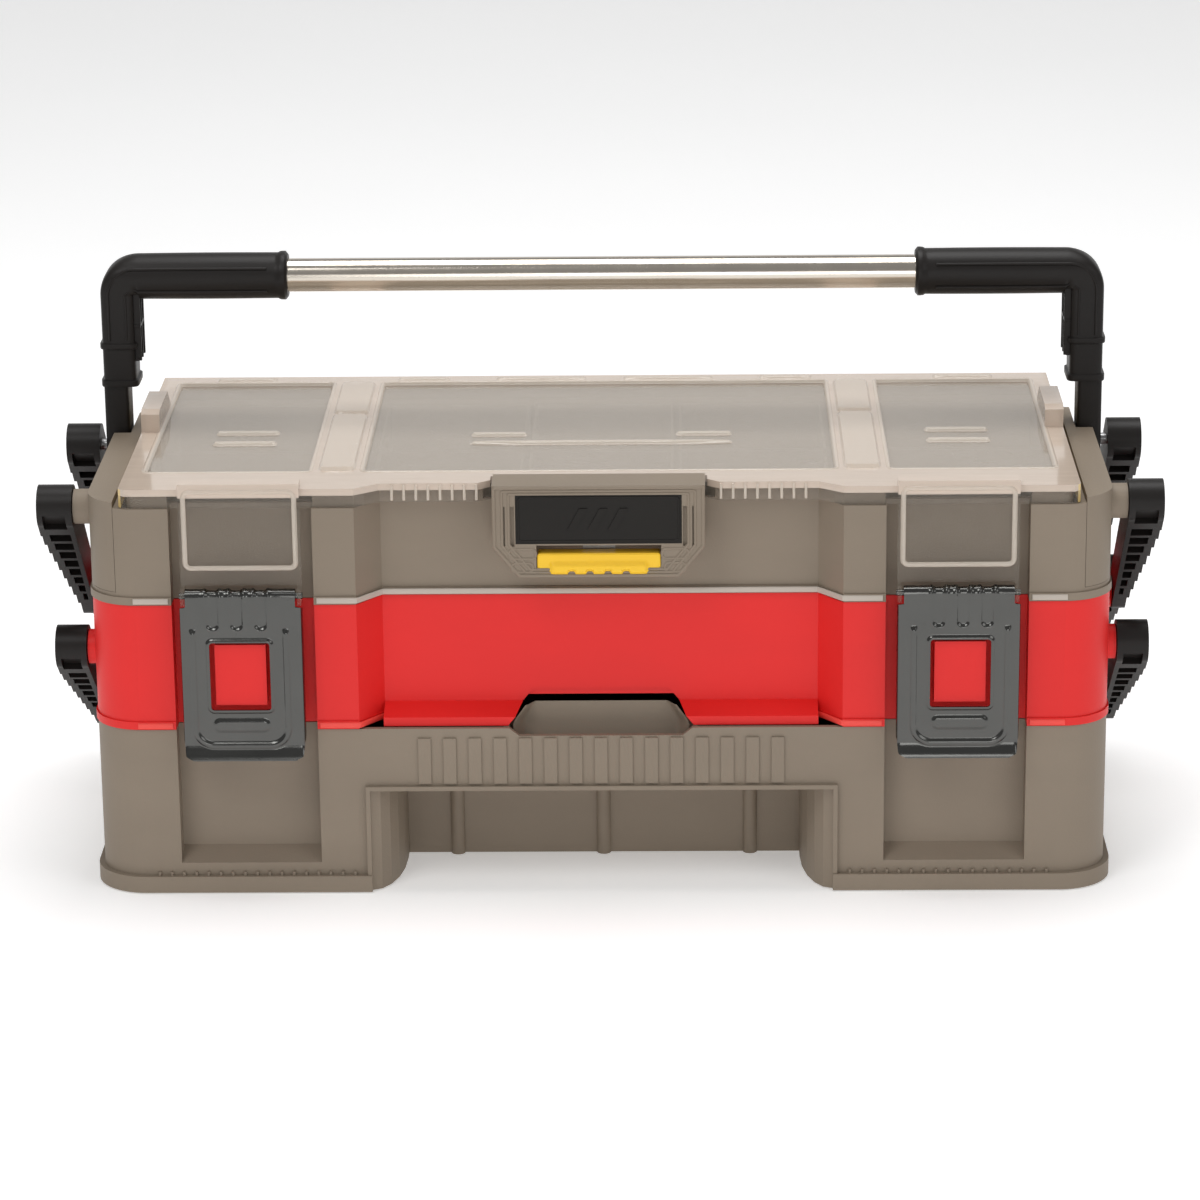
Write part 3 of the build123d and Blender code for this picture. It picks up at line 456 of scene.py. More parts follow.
def repeated(row: Sequence[float], count: int) -> Grid:
    """The same row, count times."""
    return np.tile(np.array([row]), (count, 1))


def swept(name: str, path: Grid, side: Grid, normal: Grid, half: Grid, power: Grid, finish: Finish,
          around: int = 48) -> bpy.types.Object:
    """Closed tube of superellipse sections along a path.

    At each path point the section is |a/ha|^p + |b/hb|^p = 1 in the plane of side and normal,
    so a power of 2 is an ellipse and a high power is a rounded rectangle.

    Args:
        name: the piece's name.
        path: N by 3 centre points.
        side: N by 3 directions of the section's first half size.
        normal: N by 3 directions of the second.
        half: N by 2 half sizes.
        power: N exponents.
        finish: the finish it wears.
        around: points in a section.

    Returns:
        The object.
    """
    t = np.linspace(0.0, 2.0 * np.pi, around, endpoint=False)
    c, s = np.cos(t), np.sin(t)
    e = (2.0 / power)[:, None]
    a = np.sign(c) * np.abs(c) ** e * half[:, :1]
    b = np.sign(s) * np.abs(s) ** e * half[:, 1:]
    ring = path[:, None, :] + a[..., None] * side[:, None, :] + b[..., None] * normal[:, None, :]
    points = ring.reshape(-1, 3)
    count = len(path)
    faces: list[Sequence[int]] = list(grid_faces(count, around, wrap=True))
    faces.append(list(range(around))[::-1])
    faces.append([(count - 1) * around + i for i in range(around)])
    return to_mesh(name, points, faces, finish.material())


def rounded_rectangle(half_w: float, half_h: float, radius: float, t: Grid) -> Grid:
    """Points round a rounded rectangle at shares t of a turn.

    A ray at each angle meets the rectangle's straight sides, and within a corner it meets the
    corner's circle, so equal shares give a star-shaped outline about the middle.

    Args:
        half_w: half width.
        half_h: half height.
        radius: corner radius.
        t: shares of a turn, 0 to 1.

    Returns:
        Array of (x, z).
    """
    angle = 2.0 * np.pi * t
    dx, dz = np.cos(angle), np.sin(angle)
    flat = np.minimum(half_w / np.maximum(np.abs(dx), 1e-9), half_h / np.maximum(np.abs(dz), 1e-9))
    cx, cz = half_w - radius, half_h - radius
    ax, az = np.abs(dx), np.abs(dz)
    b = ax * cx + az * cz
    root = np.sqrt(np.maximum(b * b - (cx * cx + cz * cz - radius * radius), 0.0))
    curved = b + root
    in_corner = (flat * ax > cx) & (flat * az > cz)
    r = np.where(in_corner, curved, flat)
    return np.stack([r * dx, r * dz], -1)


def smooth_step(low: float, high: float, value: Grid) -> Grid:
    """Smooth rise from 0 at low to 1 at high."""
    x = np.clip((value - low) / (high - low), 0.0, 1.0)
    return x * x * (3.0 - 2.0 * x)


def box_distance(x: Grid, z: Grid, cx: float, cz: float, hw: float, hh: float, r: float) -> Grid:
    """Signed distance to a rounded rectangle, negative inside."""
    qx = np.abs(x - cx) - (hw - r)
    qz = np.abs(z - cz) - (hh - r)
    outside = np.hypot(np.maximum(qx, 0.0), np.maximum(qz, 0.0))
    return outside + np.minimum(np.maximum(qx, qz), 0.0) - r


@dataclass(frozen=True)
class Facing:
    """Place of a flat patch: its origin and the directions of its width, height and front."""

    origin: RGB
    across: RGB
    up: RGB
    out: RGB

    def place(self, a: Grid, b: Grid, n: Grid) -> Grid:
        """Points at a across, b up and n out, in millimetres, as metres in the row frame."""
        parts = [np.asarray(v)[None, :] for v in (self.across, self.up, self.out)]
        flat = a.reshape(-1, 1) * parts[0] + b.reshape(-1, 1) * parts[1] + n.reshape(-1, 1) * parts[2]
        return (flat + np.asarray(self.origin)[None, :]) * MM


def outline_of(corners: Grid, samples: int) -> Grid:
    """Star-shaped outline of a polygon about (0, 0), at equal angles.

    Each ray meets every edge's line at det(p, e) / det(d, e), and the nearest hit that lies
    within its edge is kept.

    Args:
        corners: K by 2 corners.
        samples: number of angles.

    Returns:
        samples by 2 points.
    """
    t = 2.0 * np.pi * np.arange(samples) / samples
    d = np.stack([np.cos(t), np.sin(t)], -1)[:, None, :]
    p = corners[None, :, :]
    e = np.roll(corners, -1, axis=0)[None, :, :] - p
    det = d[..., 0] * e[..., 1] - d[..., 1] * e[..., 0]
    det = np.where(np.abs(det) < 1e-12, 1e-12, det)
    far = (p[..., 0] * e[..., 1] - p[..., 1] * e[..., 0]) / det
    share = (p[..., 0] * d[..., 1] - p[..., 1] * d[..., 0]) / det
    good = (far > 0.0) & (share >= -1e-9) & (share <= 1.0 + 1e-9)
    return d[:, 0, :] * np.where(good, far, np.inf).min(axis=1)[:, None]


def relief(name: str, facing: Facing, outline: Grid, height: Callable[[Grid, Grid], Grid],
           back: float, finish: Finish, rings: int = 40) -> bpy.types.Object:
    """Closed patch with a modelled front.

    Point (r, t) of the front is r times the outline at t, raised by height(a, b). The wall falls
    from the outline to the flat back, which closes on its middle.

    Args:
        name: the piece's name.
        facing: where the patch lies.
        outline: T by 2 outline points about (0, 0), in millimetres.
        height: front height over the patch's plane.
        back: height of the back, below the front.
        finish: the finish it wears.
        rings: rings from the middle to the outline.

    Returns:
        The object.
    """
    count = len(outline)
    r = np.linspace(0.004, 1.0, rings)
    a = r[:, None] * outline[None, :, 0]
    b = r[:, None] * outline[None, :, 1]
    n = height(a, b)
    a = np.vstack([a, a[-1:], a[:1]])
    b = np.vstack([b, b[-1:], b[:1]])
    n = np.vstack([n, np.full((2, count), back)])
    faces: list[Sequence[int]] = list(grid_faces(rings + 2, count, wrap=True))
    faces.append(list(range(count))[::-1])
    faces.append([(rings + 1) * count + i for i in range(count)])
    return to_mesh(name, facing.place(a, b, n), faces, finish.material())


def pad_height(outline_distance: Callable[[Grid, Grid], Grid], rise: float,
               edge: float) -> Callable[[Grid, Grid], Grid]:
    """Height of a flat-topped pad with a soft edge over a signed distance."""
    return lambda a, b: rise * (1.0 - smooth_step(-edge, 0.0, outline_distance(a, b)))


def rim(name: str, facing: Facing, outline: Grid, profile: Grid, finish: Finish) -> bpy.types.Object:
    """Closed moulding carried round an outline.

    A point is the outline at t, moved along its outward normal and raised by the profile at s.
    The normal is the outline's chord between its neighbours, turned a quarter.

    Args:
        name: the piece's name.
        facing: where it lies.
        outline: T by 2 outline points, anticlockwise.
        profile: S by 2 (offset, height) points of the closed section.
        finish: the finish it wears.

    Returns:
        The object.
    """
    chord = np.roll(outline, -1, axis=0) - np.roll(outline, 1, axis=0)
    normal = np.stack([chord[:, 1], -chord[:, 0]], -1)
    normal /= np.linalg.norm(normal, axis=1)[:, None]
    points = outline[:, None, :] + normal[:, None, :] * profile[None, :, :1]
    height = np.broadcast_to(profile[None, :, 1], points.shape[:2])
    return to_mesh(name, facing.place(points[..., 0], points[..., 1], height),
                   ring_faces(*points.shape[:2]), finish.material(), 50.0)


def slabs(name: str, boxes: Sequence[Sequence[float]], finish: Finish,
          bevel: float = 0.35) -> bpy.types.Object:
    """Several small ribs with eased edges as one piece.

    Corner (i, j, k) of a rib is its middle plus its half sizes times the signs of i, j and k.

    Args:
        name: the piece's name.
        boxes: (x0, x1, y0, y1, z0, z1) of each rib, in millimetres.
        finish: the finish it wears.
        bevel: width of the eased edges.

    Returns:
        The object.
    """
    b = np.asarray(boxes, float).reshape(-1, 3, 2)
    middle, half = b.mean(axis=2), np.abs(b[..., 1] - b[..., 0]) / 2.0
    signs = np.stack(np.meshgrid([-1, 1], [-1, 1], [-1, 1], indexing="ij"), -1).reshape(-1, 3)
    points = (middle[:, None, :] + half[:, None, :] * signs[None, :, :]).reshape(-1, 3) * MM
    quad = np.array([(0, 1, 3, 2), (4, 6, 7, 5), (0, 4, 5, 1), (2, 3, 7, 6), (0, 2, 6, 4), (1, 5, 7, 3)])
    faces = (quad[None] + 8 * np.arange(len(b))[:, None, None]).reshape(-1, 4)
    obj = to_mesh(name, points, faces.tolist(), finish.material(), 60.0)
    ease = obj.modifiers.new("ease", "BEVEL")
    ease.width = bevel * MM
    ease.segments = 2
    ease.limit_method = "ANGLE"
    return obj


# ---------------------------------------------------------------- the object's sub-assemblies
class Side(Enum):
    """The two ends of the box."""

    LEFT = -1
    RIGHT = 1

    @property
    def word(self) -> str:
        """The side's name in lower case."""
        return self.name.lower()


class Sub:
    """Shared parts of every sub-assembly: it reads nodes' boxes and puts pieces on their bodies."""

    def low(self, node: str) -> Vector:
        """Lowest corner of a node, in millimetres."""
        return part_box(node)[0] / MM

    def high(self, node: str) -> Vector:
        """Highest corner of a node, in millimetres."""
        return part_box(node)[1] / MM

    def middle(self, node: str) -> Vector:
        """Middle of a node's box, in millimetres."""
        return (self.low(node) + self.high(node)) / 2.0

    @property
    def front(self) -> float:
        """Y of the trays' front walls: the base's feet stand 3 mm in front of them."""
        return self.low("base_bin").y + 3.0

    def settle(self, piece: bpy.types.Object, body: str, slot: str,
               stands_for: Sequence[str] = ()) -> bpy.types.Object:
        """Ride a piece on a body and hide the nodes it stands for.

        Args:
            piece: the piece.
            body: the body's name.
            slot: the record's material slot; not used.
            stands_for: the nodes that it replaces.

        Returns:
            The piece.
        """
        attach(piece, body)
        if stands_for:
            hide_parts(*stands_for)
        LOG.info("piece %s on %s", piece.name, body)
        return piece


FRONT_UP = ((1.0, 0.0, 0.0), (0.0, 0.0, 1.0), (0.0, -1.0, 0.0))
TOP_UP = ((1.0, 0.0, 0.0), (0.0, 1.0, 0.0), (0.0, 0.0, 1.0))


@dataclass
class Shells:
    """The moulded bins, trays, arms and pins, which keep their own meshes."""

    finishes: dict[str, Finish]

    def dress(self, nodes: dict[str, bpy.types.Object], slots: dict[str, str]) -> None:
        """Give every node the finish of its slot.

        Args:
            nodes: the frame's nodes.
            slots: the slot of each node.
        """
        for name, obj in nodes.items():
            material = self.finishes[slots[name]].material()
            obj.data.materials.clear()
            obj.data.materials.append(material)
            LOG.info("node %s wears %s", name, material.name)


@dataclass
class Latch(Sub):
    """Pressed zinc latch: folded sides, curl round its pin, window, channels and flared lip."""

    side: Side
    sheet: float = 1.2
    fold_radius: float = 2.2
    fold_length: float = 5.2
    curl_radius: float = 3.6
    lip: float = 2.8

    def build(self) -> None:
        """Make the plate from a flat blank that is folded in millimetres."""
        node = f"latch_plate_{self.side.word}"
        low, high = self.low(node), self.high(node)
        middle = (low.x + high.x) / 2.0
        half = (high.x - low.x) / 2.0
        _, pin_y, pin_z = self.middle(f"latch_pin_{self.side.word}")
        face_y = pin_y - self.curl_radius
        out = float(self.side.value)
        window = (out * 1.0, low.z + 43.85, 15.0, 17.65)
        top = pin_z + self.curl_radius * 4.2
        wing = half + self.fold_length
        corners = [(-half + 5, low.z), (half - 5, low.z), (half - 1, low.z + 2.2), (half, low.z + 9),
                   (wing, low.z + 13), (wing, pin_z - 7), (half, pin_z - 5.5), (half - 3.2, pin_z - 5),
                   (half - 3.2, top), (-half + 3.2, top), (-half + 3.2, pin_z - 5), (-half, pin_z - 5.5),
                   (-wing, pin_z - 7), (-wing, low.z + 13), (-half, low.z + 9), (-half + 1, low.z + 2.2)]
        samples, rings = 432, 64
        centre = np.array(window[:2])
        outer = outline_of(np.array(corners) - centre, samples)
        t = np.arange(samples) / samples
        inner = rounded_rectangle(window[2], window[3], 1.6, t)
        share = np.linspace(0.0, 1.0, rings)[:, None, None] ** 1.15
        flat = inner[None] * (1.0 - share) + outer[None] * share + centre
        s, z = flat[..., 0], flat[..., 1]
        rise = self.pressing(s, z, low.z, out, window)
        front = self.folded(s, z, -rise, middle, half, face_y, pin_y, pin_z, low.z)
        rear = self.folded(s, z, self.sheet - rise, middle, half, face_y, pin_y, pin_z, low.z)
        rows = np.concatenate([front, rear[::-1]], axis=0)
        plate = to_mesh(f"latch_pressing_{self.side.word}", rows.reshape(-1, 3) * MM,
                        ring_faces(len(rows), samples), Finish.ZINC.material(), 40.0)
        self.settle(plate, f"latch_{self.side.word[0]}", "zinc_steel", [node])

    def pressing(self, s: Grid, z: Grid, low: float, out: float,
                 window: tuple[float, float, float, float]) -> Grid:
        """Height of the pressed features over the blank: border, window rim, channels and oval."""
        cx, cz, hw, hh = window
        rim_line = box_distance(s, z, cx, cz, hw, hh, 1.6)
        rise = 0.9 * (1.0 - smooth_step(0.7, 2.4, rim_line))
        border = box_distance(s, z, cx, low + 51.0, 23.2, 43.5, 9.0)
        below = 1.0 - smooth_step(low + 66.0, low + 69.0, z)
        rise = rise + 1.1 * below * (1.0 - smooth_step(0.5, 2.2, np.abs(border)))
        for offset in (14.0, 2.0, -10.0):
            channel = box_distance(s, z, out * offset, low + 84.0, 3.3, 16.0, 3.0)
            rise = rise - 0.75 * (1.0 - smooth_step(-1.4, 0.2, channel))
            rise = rise + 0.35 * (1.0 - smooth_step(0.3, 1.3, np.abs(channel - 0.5)))
        oval = box_distance(s, z, cx, low + 17.9, 14.7, 4.0, 3.9)
        return rise + 0.9 * (1.0 - smooth_step(-2.2, 0.3, oval))

    def folded(self, s: Grid, z: Grid, inward: Grid, middle: float, half: float, face: float,
               pin_y: float, pin_z: float, low: float) -> Grid:
        """Points of the folded sheet.

        Past each side's bend line the sheet turns a quarter about a small radius and runs back.
        Above the pin it wraps round the pin at the curl's radius, and below the border it flares
        forward.

        Args:
            s: distance across the blank from its middle.
            z: distance up the blank.
            inward: offset behind the blank's front.
            middle: X of the blank's middle.
            half: half width of the folded plate.
            face: Y of its front.
            pin_y: Y of the pin.
            pin_z: Z of the pin.
            low: Z of the lip.

        Returns:
            Array of points.
        """
        r = self.fold_radius
        past = np.maximum(np.abs(s) - (half - r), 0.0)
        turn = np.minimum(past / r, np.pi / 2.0)
        run = np.maximum(past - r * np.pi / 2.0, 0.0)
        x = np.where(past > 0.0, np.sign(s) * (half - r + (r - inward) * np.sin(turn)), s)
        y = face + inward + np.where(past > 0.0, r - inward - (r - inward) * np.cos(turn) + run, 0.0)
        y = y - self.lip * (1.0 - smooth_step(low, low + 8.0, z))
        up = np.maximum(z - pin_z, 0.0) / self.curl_radius
        reach = self.curl_radius - inward
        wrapped = up > 0.0
        y = np.where(wrapped, pin_y - reach * np.cos(up), y)
        z = np.where(wrapped, pin_z + reach * np.sin(up), z)
        return np.stack([x + middle, y, z], -1)


@dataclass
class Handle(Sub):
    """Grip, elbow and leg moulded in one, with collars, seams, an inner ladder and the turning eye."""

    side: Side
    grip: float = 11.9
    corner: float = 20.0
    leg: tuple[float, float] = (8.75, 11.0)
    neck: tuple[float, float] = (6.4, 10.0)
    eye: float = 11.0
    neck_length: float = 34.0
    band_places: tuple[float, float] = (1.6, 21.6)
    box_margin: float = 0.04
    counts: tuple[int, int] = (60, 80)

    def build(self) -> None:
        """Carry the grip's section round the elbow and down the leg.

        The path is level along the grip, turns a quarter about the corner and drops down the leg.
        The half sizes go from the grip's to the leg's with the share of the turn.
        """
        node = f"handle_elbow_{self.side.word}"
        low, high = self.low(node), self.high(node)
        sign = self.side.value
        inner_x = min(abs(low.x), abs(high.x))
        leg_out = max(abs(low.x), abs(high.x)) - 1.2
        _, depth, tube_z = self.middle("handle_tube")
        eye_z = low.z + self.eye
        top = eye_z + self.neck_length
        corner_x, corner_z = leg_out - self.corner, tube_z + self.grip - self.corner
        leg_x = leg_out - self.leg[0]
        along, down = self.counts
        quarter = np.pi / 2.0
        x = np.linspace(inner_x, corner_x, along)
        theta = np.linspace(0.0, quarter, 30)[1:-1]
        radius = (self.corner - self.grip) + (self.grip - self.leg[0]) * theta / quarter
        z = np.linspace(corner_z, top, down)
        px = np.concatenate([x, corner_x + radius * np.sin(theta), np.full(down, leg_x)])
        pz = np.concatenate([np.full(along, tube_z), corner_z + radius * np.cos(theta), z])
        turn = np.concatenate([np.zeros(along), theta, np.full(down, quarter)])
        share = turn / quarter
        swell, bands = self.swells(x, z, top, len(theta))
        half = np.stack([self.grip - self.box_margin + (self.leg[0] - self.grip) * share + swell
                         + bands * 1.15,
                         self.grip + (self.leg[1] - self.grip) * share + swell + bands], -1)
        power = 2.0 + 4.5 * smooth_step(0.0, 1.0, share) ** 1.5
        zeros = np.zeros_like(px)
        path = np.stack([sign * px, zeros + depth, pz], -1) * MM
        side = np.stack([sign * np.sin(turn), zeros, np.cos(turn)], -1)
        across = repeated((0.0, 1.0, 0.0), len(px))
        body = swept(f"handle_moulding_{self.side.word}", path, side, across, half * MM, power,
                     Finish.BLACK, 64)
        self.settle(body, "handle", "black_plastic", [node])
        self.add_seams(path, side, across, half, share)
        self.add_neck(leg_out - self.neck[0], depth, eye_z, top)
        self.add_ladder(leg_x, depth, top, corner_z)

    def swells(self, x: Grid, z: Grid, top: float, turning: int) -> tuple[Grid, Grid]:
        """Extra half size along the path: the grip's collar and belly, and the leg's two bands.

        Args:
            x: X along the grip.
            z: Z down the leg.
            top: Z of the leg's lower end.
            turning: number of path points in the elbow.

        Returns:
            The grip's swell and the leg's bands, each over the whole path.
        """
        past = x - x[0]
        collar = 0.8 * (1.0 - smooth_step(3.6, 5.0, past)) - 1.6 * (1.0 - smooth_step(0.0, 0.8, past))
        belly = 0.18 * np.sin(np.pi * past / (x[-1] - x[0]))
        low, high = self.band_places
        band = self.step(z, top + low, 1.9) + self.step(z, top + high, 1.7)
        return (np.concatenate([collar + belly, np.zeros(turning + len(z))]),
                np.concatenate([np.zeros(len(x) + turning), band]))

    @staticmethod
    def step(z: Grid, middle: float, half: float) -> Grid:
        """1 within half of the middle, falling to 0 over 0.4 mm."""
        return 1.0 - smooth_step(half - 0.4, half, np.abs(z - middle))

    def add_seams(self, path: Grid, side: Grid, across: Grid, half: Grid, share: Grid) -> None:
        """Two thin raised lines along the moulding's front, above and below its middle."""
        keep = slice(8, 128)
        count = keep.stop - keep.start
        ease = (1.0 + 0.10 * smooth_step(0.2, 1.0, share))[:, None]
        for name, rise, front in (("upper", 0.50, 0.90), ("lower", -0.52, 0.88)):
            line = path + (side * (half[:, :1] * rise) - across * (half[:, 1:] * front * ease)) * MM
            seam = swept(f"handle_seam_{name}_{self.side.word}", line[keep], side[keep], across[keep],
                         np.full((count, 2), 0.75 * MM), np.full(count, 2.0), Finish.BLACK, 12)
            self.settle(seam, "handle", "black_plastic")

    def add_neck(self, x: float, depth: float, eye_z: float, top: float) -> None:
        """Narrow neck that ends in the round eye on the pivot.

        Above the pivot the half depth is the neck's, and below it the eye's circle closes it.

        Args:
            x: distance of the neck's middle from the box's middle.
            depth: Y of its middle.
            eye_z: Z of the pivot.
            top: Z where the neck leaves the leg.
        """
        z = np.concatenate([np.linspace(top - 0.3, eye_z, 20),
                            np.linspace(eye_z, eye_z - self.eye + 0.1, 24)[1:]])
        below = np.sqrt(np.maximum(self.eye ** 2 - np.minimum(z - eye_z, 0.0) ** 2, 0.04))
        reach = np.where(z > eye_z + 4.6, self.neck[1], np.minimum(below, self.eye))
        zeros = np.zeros_like(z)
        path = np.stack([zeros + self.side.value * x, zeros + depth, z], -1) * MM
        half = np.stack([zeros + self.neck[0], reach], -1) * MM
        neck = swept(f"handle_neck_{self.side.word}", path, repeated((1.0, 0.0, 0.0), len(z)),
                     repeated((0.0, 1.0, 0.0), len(z)), half, zeros + 9.0, Finish.BLACK, 48)
        self.settle(neck, "handle", "black_plastic")

    def add_ladder(self, leg_x: float, depth: float, top: float, corner_z: float) -> None:
        """Rungs and upright plates on the leg's inner side, deeper towards the elbow."""
        sign = self.side.value
        inner = leg_x - self.leg[0] + 0.6
        boxes = []
        rungs = 3
        for i in range(rungs):
            z = top + 14.0 + i * (corner_z - top - 13.0) / (rungs - 1)
            reach = 2.4 + 2.2 * i / (rungs - 1)
            a, b = sorted((sign * (inner - reach), sign * (inner + 1.0)))
            boxes.append((a, b, depth - 8.6, depth + 8.6, z - 0.9, z + 0.9))
        a, b = sorted((sign * (inner - 3.6), sign * (inner + 1.0)))
        for rib in (-8.2, -1.0, 7.4):
            boxes.append((a, b, depth + rib, depth + rib + 1.4, top + 13.2, corner_z + 3.0))
        ladder = slabs(f"handle_ladder_{self.side.word}", boxes, Finish.BLACK)
        self.settle(ladder, "handle", "black_plastic")


@dataclass
class LidTrim(Sub):
    """Raised and sunk details of the clear lid."""

    frame_rise: float = 0.45
    bump_rise: float = 11.5
    window_half_depth: float = 86.0
    window_middle_depth: float = 117.0
    end_window: tuple[float, float] = (186.25, 41.25)
    middle_window_half: float = 118.2
    ridge_x: float = 131.4
    strip_depth: float = 209.4
    tongue_x: float = 177.5

    def build(self) -> None:
        """Window frames, ridges, embossed bars, rear pads, flange ribs and tongue reliefs."""
        end_x, end_half = self.end_window
        windows = {"middle": (0.0, self.middle_window_half), "right": (end_x, end_half),
                   "left": (-end_x, end_half)}
        profile = np.array([(-1.0, -1.45), (-0.3, 0.1), (0.3, self.frame_rise),
                            (1.0, self.frame_rise), (1.7, 0.1), (1.9, -0.3), (0.2, -0.5)])
        for name, (cx, half_x) in windows.items():
            facing = Facing((cx, self.front + self.window_middle_depth, self.top), *TOP_UP)
            outline = rounded_rectangle(half_x, self.window_half_depth, 2.0, np.arange(480) / 480)
            piece = rim(f"lid_frame_{name}", facing, outline, profile, Finish.CLEAR_EDGE)
            self.settle(piece, "lid", "clear_plastic")
        self.add_pads()
        self.add_tongues()

    @property
    def top(self) -> float:
        """Height of the lid's flat top: its side bumps stand above it."""
        return self.high("clear_lid").z - self.bump_rise

    def add_pads(self) -> None:
        """Flat-topped pads: two ridges, five bars on the windows and rear strips."""
        y, top = self.front, self.top
        sunk = top - 1.6
        strip = (3.6, 1.4, 1.0, top)
        pads = []
        for side in Side:
            s, word = side.value, side.word
            at = y + self.strip_depth
            pads += [(f"lid_ridge_{word}", s * self.ridge_x, y + 84.0, 9.4, 52.0, 3.5, 1.7, top),
                     (f"lid_ridge_rear_{word}", s * self.ridge_x, y + 170.0, 9.4, 31.0, 3.5, 1.7, top),
                     (f"lid_bar_front_{word}", s * 182.5, y + 88.0, 16.5, 3.0, 1.6, 1.2, sunk),
                     (f"lid_bar_rear_{word}", s * 182.5, y + 108.0, 16.5, 3.0, 1.6, 1.2, sunk),
                     (f"lid_bar_short_{word}", s * 52.6, y + 103.0, 14.4, 2.8, 1.4, 1.2, sunk),
                     (f"lid_strip_side_{word}", s * 192.0, at, 16.0, *strip),
                     (f"lid_strip_outer_{word}", s * 97.0, at, 14.0, *strip),
                     (f"lid_strip_inner_{word}", s * 34.0, at, 24.0, *strip)]
        pads.append(("lid_bar_long", 0.0, y + 87.0, 67.0, 2.8, 1.4, 1.2, sunk))
        for name, cx, cy, hx, hy, radius, rise, level in pads:
            outline = rounded_rectangle(hx, hy, radius, np.arange(200) / 200)
            shape = pad_height(lambda a, b, w=hx, h=hy, r=radius: box_distance(a, b, 0.0, 0.0, w, h, r),
                               rise, 1.4)
            piece = relief(name, Facing((cx, cy, level), *TOP_UP), outline, shape, -0.25,
                           Finish.CLEAR_EDGE, 30)
            self.settle(piece, "lid", "clear_plastic")

    def add_tongues(self) -> None:
        """Raised rounded frame on each tongue, and small upright ribs along the front flange."""
        y, top = self.front, self.top
        profile = np.array([(-1.3, -0.2), (-0.9, 0.5), (-0.3, 0.75), (0.3, 0.75), (0.9, 0.5), (1.3, -0.2)])
        outline = rounded_rectangle(27.4, 19.6, 3.0, np.arange(320) / 320)
        ribs = []
        for side in Side:
            s = side.value
            facing = Facing((s * self.tongue_x, y - 3.6, top - 20.0), *FRONT_UP)
            piece = rim(f"tongue_frame_{side.word}", facing, outline, profile, Finish.CLEAR_EDGE)
            self.settle(piece, "lid", "clear_plastic")
            for i in range(8):
                x = s * (60.5 + 6.0 * i)
                ribs.append((x - 0.7, x + 0.7, y + 7.9, y + 9.6, top - 8.6, top - 0.6))
        piece = slabs("lid_front_ribs", ribs, Finish.CLEAR_EDGE, 0.25)
        self.settle(piece, "lid", "clear_plastic")


@dataclass
class Nameplate(Sub):
    """Trim of the front housing: moulded rim, ribs, badge border and the yellow catch."""

    chamfer: tuple[float, float] = (13.4, 16.0)
    steps: tuple[float, float] = (0.925, 0.86)
    border: tuple[float, float] = (39.6, 11.2)
    pocket_x: float = 37.8

    def build(self) -> None:
        """Make the rim, its steps and pockets, the badge border and the catch."""
        low, high = self.low("front_housing"), self.high("front_housing")
        half_x, half_z = (high.x - low.x) / 2.0, (high.z - low.z) / 2.0
        cut_x, cut_z = self.chamfer
        right = np.array([(half_x - cut_x, 1 - half_z), (half_x - 1, cut_z - half_z),
                          (half_x - 1, half_z - 1)])
        corners = np.concatenate([right[::-1] * (-1.0, 1.0), right])
        profile = np.array([(-1.0, -0.3), (-0.8, 0.35), (-0.3, 0.6), (0.3, 0.6), (0.8, 0.35), (1.0, -0.3)])
        facing = Facing((0.0, low.y, (high.z + low.z) / 2.0), *FRONT_UP)
        self.add_rim("housing_rim", facing, outline_of(corners, 480), profile)
        for i, share in enumerate(self.steps):
            self.add_rim(f"housing_step_{i + 1}", facing, outline_of(corners * share, 480), profile * 0.75)
        plate_low, plate = self.low("badge_plate"), self.middle("badge_plate")
        facing = Facing((0.0, plate_low.y + 0.6, plate.z), *FRONT_UP)
        border = rim("badge_border", facing, rounded_rectangle(*self.border, 1.6, np.arange(320) / 320),
                     profile * 0.6, Finish.BADGE)
        self.settle(border, "top", "badge_black")
        for side in Side:
            for name, z, half_w, half_h in (("upper", 178.6, 6.6, 2.5), ("lower", 171.6, 5.2, 2.3)):
                pocket = Facing((side.value * self.pocket_x, low.y, z), *FRONT_UP)
                line = rounded_rectangle(half_w, half_h, 2.1, np.arange(160) / 160)
                self.add_rim(f"housing_pocket_{name}_{side.word}", pocket, line, profile * 0.7)
        self.add_catch()

    def add_rim(self, name: str, facing: Facing, outline: Grid, profile: Grid) -> None:
        """One grey moulding on the housing."""
        self.settle(rim(name, facing, outline, profile, Finish.GREY), "top", "grey_plastic")

    def add_catch(self) -> None:
        """Yellow catch: rounded body, finger bulge and four notches in its lower edge."""
        low, high = self.low("catch_slider"), self.high("catch_slider")
        half_x, half_z = (high.x - low.x) / 2.0, (high.z - low.z) / 2.0
        facing = Facing((0.0, low.y + 2.8, (high.z + low.z) / 2.0), *FRONT_UP)
        outline = rounded_rectangle(half_x, half_z, 1.4, np.arange(720) / 720)

        def height(a: Grid, b: Grid) -> Grid:
            """Body edge, then the bulge, less the notches."""
            edge = 0.5 * (1.0 - smooth_step(-0.8, 0.0, box_distance(a, b, 0, 0, half_x, half_z, 1.4)))
            bulge = box_distance(a, b, 0.0, -1.7, 25.0, half_z - 2.0, 2.6)
            hump = 2.0 * (1.0 - smooth_step(-2.6, 0.2, bulge))
            for i in range(4):
                hump = hump - 1.5 * (1.0 - smooth_step(-0.8, 0.6, box_distance(
                    a, b, -13.5 + 9.0 * i, -half_z + 1.6, 1.7, 1.9, 0.6)))
            return edge + hump

        catch = relief("catch_button", facing, outline, height, -7.8, Finish.YELLOW, 60)
        self.settle(catch, "catch", "yellow_plastic", ["catch_slider"])


